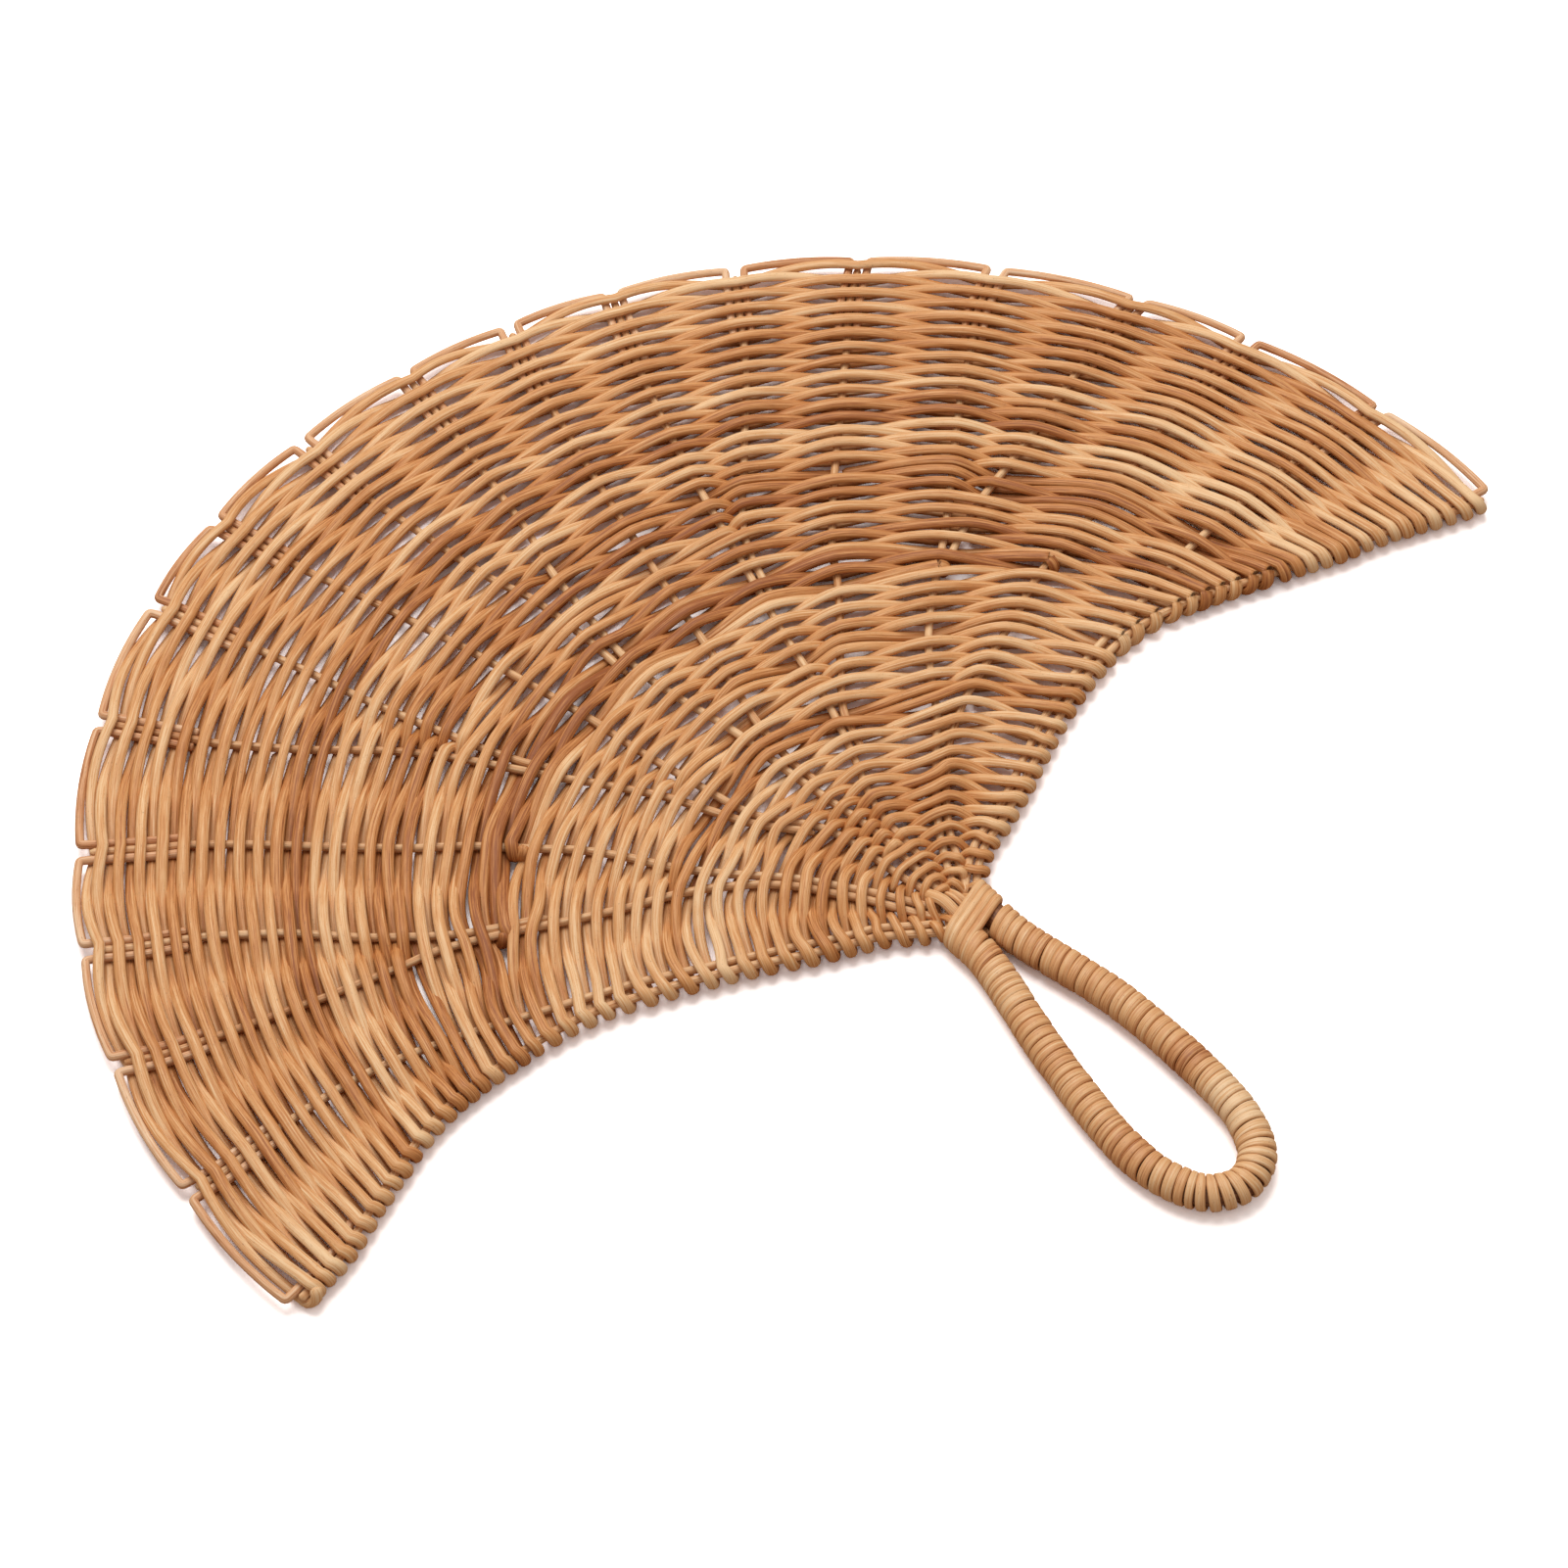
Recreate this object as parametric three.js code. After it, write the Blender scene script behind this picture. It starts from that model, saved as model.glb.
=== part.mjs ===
// Rattan wall fan: a half-moon blade of radiating ribs and a plain over-and-under weave,
// a rim of bent arches, and a teardrop hand loop wound with flat strip.
// It lies on its back: +Z is the front, +Y points from the hand loop to the rim.
import * as THREE from 'three';

// Rods and strips, in millimetres
const RIB_DIAMETER = 2.4;
const WEAVER_WIDTH = 2.2;
const WEAVER_THICKNESS = 2.2;
const ARCH_DIAMETER = 2.6;
const CLEARANCE = 0.3;
const ROW_GAP = 0.64;

// Blade outline: the rib tips lie on a circle whose centre is a little above the hub
const RIM_RADIUS = 219;
const HUB_BELOW_RIM_CENTRE = 35;
const SCALLOP_DEGREES = [
  12.2, 12.3, 10.3, 9, 12.1, 11.7, 9.2, 10, 10.5,
  9.4, 8.8, 10.1, 10.1, 10.9, 11.7, 9.6, 12.3, 11.7,
];
const EDGE_SWAY_DEGREES = 16;
const EDGE_SWAY_SHAPE = 0.85;
const EDGE_SWAY_SPREAD = 1.5;
const MIDDLE_BOW_DEGREES = 6.5;
const MIDDLE_BOW_RADIUS = 126;
const MIDDLE_BOW_REACH = 42;
const RIB_START_RADIUS = 9;
const RIB_STEP = 27;
const FIRST_ROW_BEYOND_START = 1.4;
const SAME_SIDE_SHIFT = 0.3;
const RIB_BEYOND_LAST_ROW = 2.2;
const RIM_MARGIN = 1;

// Ribs laid in beside a host rib: radius where they begin, leave the host and reach their own line,
// as shares of the rim's radius
const LAID_IN = [
  { ribs: [1, 17], hosts: [0, 18], start: 0.119, leave: 0.42, settle: 0.685 },
  { ribs: [5, 13], hosts: [4, 14], start: 0.21, leave: 0.228, settle: 0.438 },
  { ribs: [10], hosts: [9], start: 0.365, leave: 0.384, settle: 0.511 },
  { ribs: [8], hosts: [9], start: 0.612, leave: 0.639, settle: 0.822 },
  { ribs: [3, 15], hosts: [2, 16], start: 0.511, leave: 0.539, settle: 0.767 },
  { ribs: [6, 12], hosts: [5, 11], start: 0.539, leave: 0.566, settle: 0.785 },
];
const PART_SPACE = 3.6;
const SPLIT_SPACE = 7.8;
const STEEP_SPAN = 13;
const SHOULDER_SHARE = 0.33;
const ROD_END_SHARE = 0.12;

// Extra rows in the middle, between the inner and the outer part of the blade
const GORE_RADIUS = 114;
const GORE_RIBS = [[2, 14], [4, 13]];

// Rim arches
const ARCH_LEG = 27;
const ARCH_BULGE = 3;
const ARCH_CORNER = 2.6;
const ARCH_CORNER_INSET = 1;

// Hand loop
const NECK_BELOW_HUB = 3.5;
const NECK_LENGTH = 15;
const LEG_GAP = 0.6;
const LOOP_WIDTH = 34.6;
const TAPER_LENGTH = 74;
const LOOP_END_DEPTH = 28;
const TAPER_FULLNESS = 0.55;
const CORE_DIAMETER = 6.5;
const WRAP_THICKNESS = 1.1;
const WRAP_CLEARANCE = 0.45;
const WRAP_LOOPS = 24;
const WRAP_GAP = 0.55;
const STRIP_END = 2.5;
const LASHING_LOOPS = 3;
const LASHING_WIDTH = 2.5;
const LASHING_GAP = 0.8;
const LASHING_SLANT = 6;
const HUB_STRAND_DIAMETER = 2.4;
const HUB_STRAND_SPACING = 3.4;

const WEAVER_COUNT = 14;

const ribRadius = RIB_DIAMETER / 2;
const archRadius = ARCH_DIAMETER / 2;
const coreRadius = CORE_DIAMETER / 2;
const ribCount = SCALLOP_DEGREES.length + 1;
const middleRib = (ribCount - 1) / 2;
const pairSpace = RIB_DIAMETER + CLEARANCE;
const legSpace = ribRadius + archRadius + CLEARANCE;
const archSlopeRoom = 0.4;
const rise = archRadius + WEAVER_THICKNESS / 2 + CLEARANCE + archSlopeRoom;
const bladeHalf = rise + WEAVER_THICKNESS / 2;
const wrapRadius = coreRadius + WRAP_CLEARANCE + WRAP_THICKNESS / 2;
const wrapOuter = wrapRadius + WRAP_THICKNESS / 2;
const legSpacing = 2 * wrapOuter + LEG_GAP;
const loopHeight = Math.max(0, wrapOuter - bladeHalf + CLEARANCE);
const lashingLength = LASHING_LOOPS * (LASHING_WIDTH + LASHING_GAP) + LASHING_WIDTH;

const UP = new THREE.Vector3(0, 0, 1);
const radians = THREE.MathUtils.degToRad;

// Fan geometry, with the hub at (0, 0)

// Angle of each rib tip about the rim circle's centre, from the left edge to the right
const halfSweep = SCALLOP_DEGREES.reduce((sum, step) => sum + step, 0) / 2;
const tipDegrees = [90 + halfSweep];
for (const step of SCALLOP_DEGREES) tipDegrees.push(tipDegrees.at(-1) - step);

// Point at a rim-circle angle and radius, seen from the hub
function rimPoint(degrees, radius) {
  const angle = radians(degrees);
  return new THREE.Vector3(radius * Math.cos(angle), HUB_BELOW_RIM_CENTRE + radius * Math.sin(angle), 0);
}

const tips = tipDegrees.map((degrees) => rimPoint(degrees, RIM_RADIUS));
const tipAngles = tips.map((tip) => Math.atan2(tip.y, tip.x));
const tipRadii = tips.map((tip) => tip.length());

const smooth = (x) => THREE.MathUtils.smoothstep(x, 0, 1);

// A rib's own line: its tip angle, drawn towards the middle part of the way out. The middle rib bows left.
function ownAngle(rib, radius) {
  const lean = (tipAngles[rib] - Math.PI / 2) / (Math.PI / 2);
  const bow = Math.sin(Math.PI * (radius / tipRadii[rib]) ** EDGE_SWAY_SHAPE);
  const sway = Math.sign(lean) * Math.abs(lean) ** EDGE_SWAY_SPREAD;
  const fromBow = (radius - MIDDLE_BOW_RADIUS) / MIDDLE_BOW_REACH;
  const middleBow = rib === middleRib ? radians(MIDDLE_BOW_DEGREES) * Math.exp(-(fromBow ** 2) / 2) : 0;
  return tipAngles[rib] - radians(EDGE_SWAY_DEGREES) * sway * bow + middleBow;
}

const layIn = new Map();
for (const { ribs, hosts, start, leave, settle } of LAID_IN) {
  ribs.forEach((rib, side) => layIn.set(rib, {
    host: hosts[side], start: start * RIM_RADIUS, leave: leave * RIM_RADIUS, settle: settle * RIM_RADIUS,
  }));
}

const polar = (angle, radius) => new THREE.Vector3(radius * Math.cos(angle), radius * Math.sin(angle), 0);
const knotRadius = (knot) => RIB_START_RADIUS + RIB_STEP * knot;

// A rib bends only at its knots, which all ribs have at the same radii. A laid-in rib keeps beside
// its host, then parts from it towards its own line.
const knots = new Map();
function ribKnot(rib, knot) {
  const key = `${rib}/${knot}`;
  if (!knots.has(key)) knots.set(key, placeKnot(rib, knot));
  return knots.get(key);
}
function placeKnot(rib, knot) {
  const radius = knotRadius(knot);
  const own = polar(ownAngle(rib, radius), radius);
  const laid = layIn.get(rib);
  if (!laid) return own;
  const host = ribKnot(laid.host, knot);
  const nearer = ribKnot(laid.host, Math.max(0, knot - 1));
  const along = ribKnot(laid.host, knot + 1).clone().sub(nearer).normalize();
  const across = new THREE.Vector3(along.y, -along.x, 0).multiplyScalar(Math.sign(rib - laid.host));
  const beside = host.clone().addScaledVector(across, pairSpace);
  const parted = host.clone().lerp(own, smooth((radius - laid.leave) / (laid.settle - laid.leave)));
  return parted.distanceTo(host) > PART_SPACE ? parted : beside;
}

function ribPoint(rib, radius) {
  const at = (radius - RIB_START_RADIUS) / RIB_STEP;
  const knot = Math.max(0, Math.floor(at));
  return ribKnot(rib, knot).clone().lerp(ribKnot(rib, knot + 1), at - knot);
}

// Rows of the weave

const firstRow = RIB_START_RADIUS + FIRST_ROW_BEYOND_START;
const lastRow = tipRadii.map((radius) => radius - RIM_MARGIN - RIB_BEYOND_LAST_ROW);
const rowPitch = WEAVER_WIDTH + ROW_GAP;
const fullRows = 1 + Math.floor((Math.min(lastRow[0], lastRow[ribCount - 1]) - firstRow) / rowPitch);
const middlePitch = (lastRow[middleRib] - firstRow) / (fullRows - 1);
const goreRow = Math.round((GORE_RADIUS - firstRow) / middlePitch);

// Two extra rows cross a rib for each gore span that reaches it
const extraRows = (rib) => 2 * GORE_RIBS.filter(([from, to]) => rib >= from && rib <= to).length;

// Radius of a row at a rib; a gore row is a full row's number with its place in the gore
function rowRadius(rib, row, goreStep = 0) {
  const extra = extraRows(rib);
  const rank = row + (row > goreRow ? extra : goreStep);
  return firstRow + (lastRow[rib] - firstRow) * rank / (fullRows - 1 + extra);
}

// First row at which the ribs laid in together stand clear enough of their hosts to be woven alone. One
// rib by itself is taken up in a row that follows a turn on the left, so that the next turn still wraps.
function freeRow(pair) {
  for (let row = 0; row < fullRows; row += 1) {
    const apart = pair.ribs.every((rib, side) => {
      const radius = rowRadius(rib, row);
      return ribPoint(rib, radius).distanceTo(ribPoint(pair.hosts[side], radius)) >= SPLIT_SPACE;
    });
    if (apart && (row % 2 === 0 || pair.ribs.length > 1)) return row;
  }
  return fullRows;
}
const freeRows = new Map();
for (const pair of LAID_IN) {
  const row = freeRow(pair);
  pair.ribs.forEach((rib) => freeRows.set(rib, row));
}

// Where one rib is taken up alone, two rows that follow each other lie on the same side of the ribs
// right of it, and keep further apart there
function sameSideShift(rib, row) {
  for (const { ribs } of LAID_IN) {
    if (ribs.length > 1 || rib < ribs[0]) continue;
    const takenUp = freeRows.get(ribs[0]);
    if (row === takenUp) return SAME_SIDE_SHIFT;
    if (row === takenUp - 1) return -SAME_SIDE_SHIFT;
  }
  return 0;
}

// Near the hub the ribs stand so close that neighbours are crossed together, and at first all of them
const HUB_BUNDLES = [[2, 4], [7, 9, 11], [14, 16]];
const HUB_BUNDLE_RADIUS = 24;
const HUB_WHOLE_RADIUS = 12.5;
const hubBundleOf = (rib) => HUB_BUNDLES.findIndex((bundle) => bundle.includes(rib));

// The ribs that a row crosses, from left to right, in groups that it passes on one side
function rowGroups(row, from = 0, to = ribCount - 1) {
  const groups = [];
  for (let rib = from; rib <= to; rib += 1) {
    const laid = layIn.get(rib);
    const radius = rowRadius(rib, row);
    if (laid && radius < laid.start - WEAVER_WIDTH) continue;
    const last = groups.at(-1);
    const joinsHost = laid && row < freeRows.get(rib);
    const hostOfLast = last && last.some((other) => {
      const otherLaid = layIn.get(other);
      return otherLaid && otherLaid.host === rib && row < freeRows.get(other);
    });
    const bundled = last && radius < HUB_BUNDLE_RADIUS && hubBundleOf(rib) >= 0
      && hubBundleOf(rib) === hubBundleOf(last.at(-1));
    const whole = radius < HUB_WHOLE_RADIUS;
    if (last && (whole || (joinsHost && last.includes(laid.host)) || hostOfLast || bundled)) last.push(rib);
    else groups.push([rib]);
  }
  return groups;
}

const LEAST_SHOULDER = 0.02;

// Stations of one row: a point over or under each rib, with shoulders where the next rib is close
function rowStations(row, side, from, to, goreStep = 0) {
  const stations = [];
  const upright = UP.clone().multiplyScalar(side);
  let over = side;
  for (const group of rowGroups(row, from, to)) {
    for (const rib of group) {
      const point = ribPoint(rib, rowRadius(rib, row, goreStep) + sameSideShift(rib, row));
      point.z = over * rise;
      stations.push({ point, up: upright });
    }
    over = -over;
  }
  const shouldered = [stations[0]];
  for (let i = 1; i < stations.length; i += 1) {
    const a = stations[i - 1].point;
    const b = stations[i].point;
    const span = Math.hypot(b.x - a.x, b.y - a.y);
    if (a.z !== b.z && span < STEEP_SPAN) {
      const share = SHOULDER_SHARE * (STEEP_SPAN - span) / span + LEAST_SHOULDER;
      const near = a.clone().lerp(b, share).setZ(a.z);
      const far = b.clone().lerp(a, share).setZ(b.z);
      shouldered.push({ point: near, up: upright }, { point: far, up: upright });
    }
    shouldered.push(stations[i]);
  }
  return shouldered;
}

// A strand's turn round a rib: two stations on a half circle outside it
function turnStations(last, next, outward) {
  const side = Math.sign(last.point.z);
  return [60, 120].map((degrees) => {
    const angle = radians(degrees);
    const point = last.point.clone().lerp(next.point, degrees / 180);
    point.addScaledVector(outward, rise * Math.sin(angle)).setZ(side * rise * Math.cos(angle));
    const up = outward.clone().multiplyScalar(Math.sin(angle)).setZ(side * Math.cos(angle));
    return { point, up };
  });
}

// Direction across a rib, away from the middle of the row that turns there
function outwardAt(rib, radius, sign) {
  const along = ribPoint(rib, radius + 1).sub(ribPoint(rib, radius - 1)).normalize();
  return new THREE.Vector3(-along.y, along.x, 0).multiplyScalar(sign);
}

// Rows joined end to end into one serpentine path
function serpentine(rows) {
  const path = [];
  rows.forEach(({ row, side, from, to, goreStep }, index) => {
    const stations = rowStations(row, side, from, to, goreStep);
    const leftward = index % 2 === 1;
    if (leftward) stations.reverse();
    if (path.length) {
      const rib = leftward ? to : from;
      const outward = outwardAt(rib, rowRadius(rib, row, goreStep), leftward ? -1 : 1);
      path.push(...turnStations(path.at(-1), stations[0], outward));
    }
    path.push(...stations);
  });
  return path;
}

// Closed tube along a list of stations with a cross-section given as [across, up] pairs
function sweep(stations, section) {
  const sides = section(0).length;
  const positions = [];
  const count = stations.length;
  stations.forEach(({ point, up }, i) => {
    const before = stations[Math.max(0, i - 1)].point;
    const after = stations[Math.min(count - 1, i + 1)].point;
    const along = new THREE.Vector3();
    if (i > 0) along.add(point.clone().sub(before).normalize());
    if (i < count - 1) along.add(after.clone().sub(point).normalize());
    along.normalize();
    const across = up.clone().cross(along).normalize();
    const upright = along.clone().cross(across);
    for (const [a, b] of section(i)) {
      const corner = point.clone().addScaledVector(across, a).addScaledVector(upright, b);
      positions.push(corner.x, corner.y, corner.z);
    }
  });
  const index = [];
  for (let ring = 0; ring < count - 1; ring += 1) {
    for (let j = 0; j < sides; j += 1) {
      const a = ring * sides + j;
      const b = ring * sides + (j + 1) % sides;
      index.push(a, b, b + sides, a, b + sides, a + sides);
    }
  }
  const end = (count - 1) * sides;
  for (let j = 1; j < sides - 1; j += 1) {
    index.push(0, j + 1, j);
    index.push(end, end + j, end + j + 1);
  }
  const geometry = new THREE.BufferGeometry();
  geometry.setAttribute('position', new THREE.Float32BufferAttribute(positions, 3));
  geometry.setIndex(index);
  geometry.computeVertexNormals();
  return geometry;
}

// Cross-sections
function roundSection(radius, sides) {
  const corners = Array.from({ length: sides }, (_, j) => {
    const angle = 2 * Math.PI * (j + 0.5) / sides;
    return [radius * Math.cos(angle), radius * Math.sin(angle)];
  });
  return () => corners;
}
function flatSection(width, thickness) {
  const w = width / 2;
  const t = thickness / 2;
  return [[w, -t], [w, t], [-w, t], [-w, -t]];
}

const flat = (point) => ({ point, up: UP });

// Finishes
const finish = (color, roughness) => new THREE.MeshStandardMaterial({ color, roughness, metalness: 0 });
const RIB_SIDES = 5;

// Ribs: the middle and edge ribs run on down to the neck, the others stop at the hub
function makeRib(rib) {
  const laid = layIn.get(rib);
  const start = laid ? laid.start : RIB_START_RADIUS;
  const end = tipRadii[rib] - RIM_MARGIN;
  const stations = [];
  const toNeck = { 0: -1, [middleRib]: 0, [ribCount - 1]: 1 }[rib];
  if (toNeck !== undefined) {
    const neckX = toNeck * (pairSpace + CLEARANCE);
    const neckEnd = -NECK_BELOW_HUB + CLEARANCE;
    for (const y of [neckEnd, neckEnd + RIB_DIAMETER]) stations.push(flat(new THREE.Vector3(neckX, y, 0)));
  }
  stations.push(flat(ribPoint(rib, start)));
  for (let knot = 1; knotRadius(knot) < end; knot += 1) {
    if (knotRadius(knot) > start) stations.push(flat(ribKnot(rib, knot)));
  }
  stations.push(flat(ribPoint(rib, end)));
  return sweep(stations, roundSection(ribRadius, RIB_SIDES));
}

// A rim arch: a leg beside each of two ribs, joined by a bow that stands outside the rim circle
function makeArch(left) {
  const right = left + 1;
  const legPoint = (rib, radius, sign) => {
    const inward = outwardAt(rib, radius, sign);
    return ribPoint(rib, radius).addScaledVector(inward, legSpace);
  };
  const legRadii = (rib) => {
    const inner = tipRadii[rib] - ARCH_LEG;
    const outer = tipRadii[rib] - ARCH_CORNER;
    const bend = knotRadius(Math.floor((outer - RIB_START_RADIUS) / RIB_STEP));
    return [inner, bend > inner ? bend : (inner + outer) / 2, outer];
  };
  const leftLeg = legRadii(left).map((radius) => legPoint(left, radius, -1));
  const rightLeg = legRadii(right).map((radius) => legPoint(right, radius, 1)).reverse();
  const bow = [];
  const bowSteps = 4;
  const inset = THREE.MathUtils.radToDeg((legSpace + ARCH_CORNER_INSET) / RIM_RADIUS);
  for (let i = 0; i <= bowSteps; i += 1) {
    const u = i / bowSteps;
    const degrees = THREE.MathUtils.lerp(tipDegrees[left] - inset, tipDegrees[right] + inset, u);
    bow.push(rimPoint(degrees, RIM_RADIUS + ARCH_BULGE * (1 - (2 * u - 1) ** 4)));
  }
  const stations = [...leftLeg, ...bow, ...rightLeg].map(flat);
  return sweep(stations, roundSection(archRadius, RIB_SIDES));
}

// The weave: every full row joined into one path, then cut into the rods that were let in one by one
const fullPath = serpentine(Array.from({ length: fullRows }, (_, row) => ({
  row, side: row % 2 ? -1 : 1, from: 0, to: ribCount - 1,
})));

function cutPath(path, pieces) {
  const isUnder = (i) => path[i].point.z < 0 && path[i + 1].point.z > 0;
  const cuts = [0];
  for (let piece = 1; piece < pieces; piece += 1) {
    let at = Math.round(path.length * piece / pieces);
    while (!isUnder(at) || path[at].point.distanceTo(path[at + 1].point) < STEEP_SPAN) at += 1;
    cuts.push(at);
  }
  cuts.push(path.length - 1);
  return cuts.slice(1).map((to, i) => {
    const from = cuts[i];
    const middle = path.slice(from + (i ? 1 : 0), to + 1);
    if (i) {
      const gap = 2 * CLEARANCE / path[from].point.distanceTo(path[from + 1].point);
      const point = path[from].point.clone().lerp(path[from + 1].point, ROD_END_SHARE + gap);
      middle.unshift({ point, up: path[from].up });
    }
    if (to < path.length - 1) {
      const point = path[to].point.clone().lerp(path[to + 1].point, ROD_END_SHARE);
      middle.push({ point, up: path[to].up });
    }
    return middle;
  });
}

// One gore strand: two rows across its span, with a turn at the right end
function gorePath(span) {
  const [from, to] = GORE_RIBS[span];
  const groupsBefore = rowGroups(goreRow).findIndex((group) => group.includes(from));
  return serpentine([1, 2].map((i) => {
    const goreStep = 2 * span + i;
    return { row: goreRow, goreStep, from, to, side: (groupsBefore + goreRow + goreStep) % 2 ? -1 : 1 };
  }));
}

// Hand loop: two legs side by side at the neck, a taper out to full width and a round end
function loopCurve() {
  const leg = legSpacing / 2;
  const half = LOOP_WIDTH / 2;
  const taperTop = -NECK_BELOW_HUB - NECK_LENGTH;
  const taperEnd = taperTop - TAPER_LENGTH;
  const taperMiddle = [leg + (half - leg) * TAPER_FULLNESS, (taperTop + taperEnd) / 2];
  const points = [[-leg, -NECK_BELOW_HUB], [-leg, taperTop], [-taperMiddle[0], taperMiddle[1]]];
  for (const degrees of [180, 210, 240, 270, 300, 330, 360]) {
    const angle = radians(degrees);
    points.push([half * Math.cos(angle), taperEnd + LOOP_END_DEPTH * Math.sin(angle)]);
  }
  points.push(taperMiddle, [leg, taperTop], [leg, -NECK_BELOW_HUB]);
  const places = points.map(([x, y]) => new THREE.Vector3(x, y, loopHeight));
  return new THREE.CatmullRomCurve3(places, false, 'centripetal');
}
const loop = loopCurve();
const loopLength = loop.getLength();

function makeCore() {
  const steps = 54;
  const stations = loop.getSpacedPoints(steps).map(flat);
  return sweep(stations, roundSection(coreRadius, 8));
}

// A strip's two ends run on straight along their last direction
function withStraightEnds(stations) {
  const extend = (end, next) => {
    const along = end.point.clone().sub(next.point).projectOnPlane(end.up).normalize();
    return { point: end.point.clone().addScaledVector(along, STRIP_END), up: end.up };
  };
  const first = extend(stations[0], stations[1]);
  const last = extend(stations.at(-1), stations.at(-2));
  return [first, ...stations, last];
}

// Sharpest bend of the hand loop within half a turn of a place on it, positive where it curls inward
function sharpestBend(u, reach) {
  const ahead = 0.001;
  const bends = [-1, -0.5, 0, 0.5, 1].map((share) => {
    const at = THREE.MathUtils.clamp(u + reach * share, 0, 1 - ahead);
    const [here, next] = [loop.getTangentAt(at), loop.getTangentAt(at + ahead)];
    return Math.sign(here.clone().cross(next).z) * here.angleTo(next) / (ahead * loopLength);
  });
  return { inward: Math.max(0, ...bends), outward: Math.max(0, ...bends.map((bend) => -bend)) };
}

// Wrapping: a helix of flat strip whose width follows the room between its turns
const wrapStepsPerLoop = 12;
function makeWrap() {
  const bare = lashingLength + LASHING_SLANT / 2 + STRIP_END / 2;
  const pitch = (loopLength - 2 * bare) / (WRAP_LOOPS + 1);
  const from = (bare + pitch / 2) / loopLength;
  const to = 1 - from;
  const steps = WRAP_LOOPS * wrapStepsPerLoop;
  const slope = Math.cos(Math.atan(pitch / (2 * Math.PI * wrapRadius)));
  const widths = [];
  const stations = [];
  for (let i = 0; i <= steps; i += 1) {
    const u = from + (to - from) * i / steps;
    const tangent = loop.getTangentAt(u);
    const normal = new THREE.Vector3(-tangent.y, tangent.x, 0);
    const angle = 2 * Math.PI * i / wrapStepsPerLoop;
    const radial = normal.clone().multiplyScalar(Math.cos(angle)).addScaledVector(UP, Math.sin(angle));
    const point = loop.getPointAt(u).addScaledVector(radial, wrapRadius);
    const bend = sharpestBend(u, pitch / loopLength / 2);
    const drawnIn = wrapOuter * Math.max(0, bend.inward * Math.cos(angle), -bend.outward * Math.cos(angle));
    widths.push(pitch * slope * (1 - drawnIn) - WRAP_GAP);
    stations.push({ point, up: radial });
  }
  const ringWidths = [widths[0], ...widths, widths.at(-1)];
  return sweep(withStraightEnds(stations), (i) => flatSection(ringWidths[i], WRAP_THICKNESS));
}

// Lashing: slanted turns round both legs at the neck
const lashingHalfSteps = 7;
function makeLashing() {
  const turns = 2 * LASHING_LOOPS;
  const stations = [];
  for (let turn = 0; turn < turns; turn += 1) {
    const side = turn % 2 ? -1 : 1;
    for (let i = 0; i <= lashingHalfSteps; i += 1) {
      const angle = Math.PI * (turn - 0.5 + i / lashingHalfSteps);
      const down = (lashingLength - LASHING_WIDTH) * (turn + i / lashingHalfSteps) / turns;
      const x = side * legSpacing / 2 + wrapRadius * Math.cos(angle);
      const slant = LASHING_SLANT * x / (legSpacing + 2 * wrapRadius);
      const y = slant - NECK_BELOW_HUB - LASHING_WIDTH / 2 - down;
      const point = new THREE.Vector3(x, y, loopHeight + wrapRadius * Math.sin(angle));
      stations.push({ point, up: new THREE.Vector3(Math.cos(angle), 0, Math.sin(angle)) });
    }
  }
  return sweep(withStraightEnds(stations), () => flatSection(LASHING_WIDTH, WRAP_THICKNESS));
}

// Least distance between different turns of a wound strip, measured on points along its four corners
function leastTurnGap(geometry, stepsPerLoop) {
  const corners = 4;
  const pointsPerStep = 4;
  const positions = geometry.getAttribute('position');
  const rings = positions.count / corners;
  const at = (ring, corner) => new THREE.Vector3().fromBufferAttribute(positions, ring * corners + corner);
  const points = [];
  for (let ring = 0; ring < rings - 1; ring += 1) {
    for (let part = 0; part < pointsPerStep; part += 1) {
      for (let corner = 0; corner < corners; corner += 1) {
        const point = at(ring, corner).lerp(at(ring + 1, corner), part / pointsPerStep);
        points.push({ point, step: ring + part / pointsPerStep });
      }
    }
  }
  let least = Infinity;
  points.forEach((a, i) => {
    for (let j = i + 1; j < points.length; j += 1) {
      const b = points[j];
      if (b.step - a.step > stepsPerLoop / 2) least = Math.min(least, a.point.distanceToSquared(b.point));
    }
  });
  return Math.sqrt(least);
}

// Short rod ends on the front, between the lashing and the first row
function makeHubStrand(side) {
  const radius = HUB_STRAND_DIAMETER / 2;
  const x = side * HUB_STRAND_SPACING / 2;
  const height = ribRadius + CLEARANCE + radius;
  const top = firstRow - WEAVER_WIDTH / 2 - 3 * CLEARANCE;
  const stations = [
    flat(new THREE.Vector3(x, -NECK_BELOW_HUB + CLEARANCE, height)),
    flat(new THREE.Vector3(x * 1.1, (top - NECK_BELOW_HUB) / 2, height)),
    flat(new THREE.Vector3(x * 1.3, top, height)),
  ];
  return sweep(stations, roundSection(radius, RIB_SIDES));
}

// Assembly
const fan = new THREE.Group();
function add(name, geometry, color, roughness) {
  const mesh = new THREE.Mesh(geometry, finish(color, roughness));
  mesh.name = name;
  fan.add(mesh);
  return mesh;
}
const number = (value) => String(value).padStart(2, '0');

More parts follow.
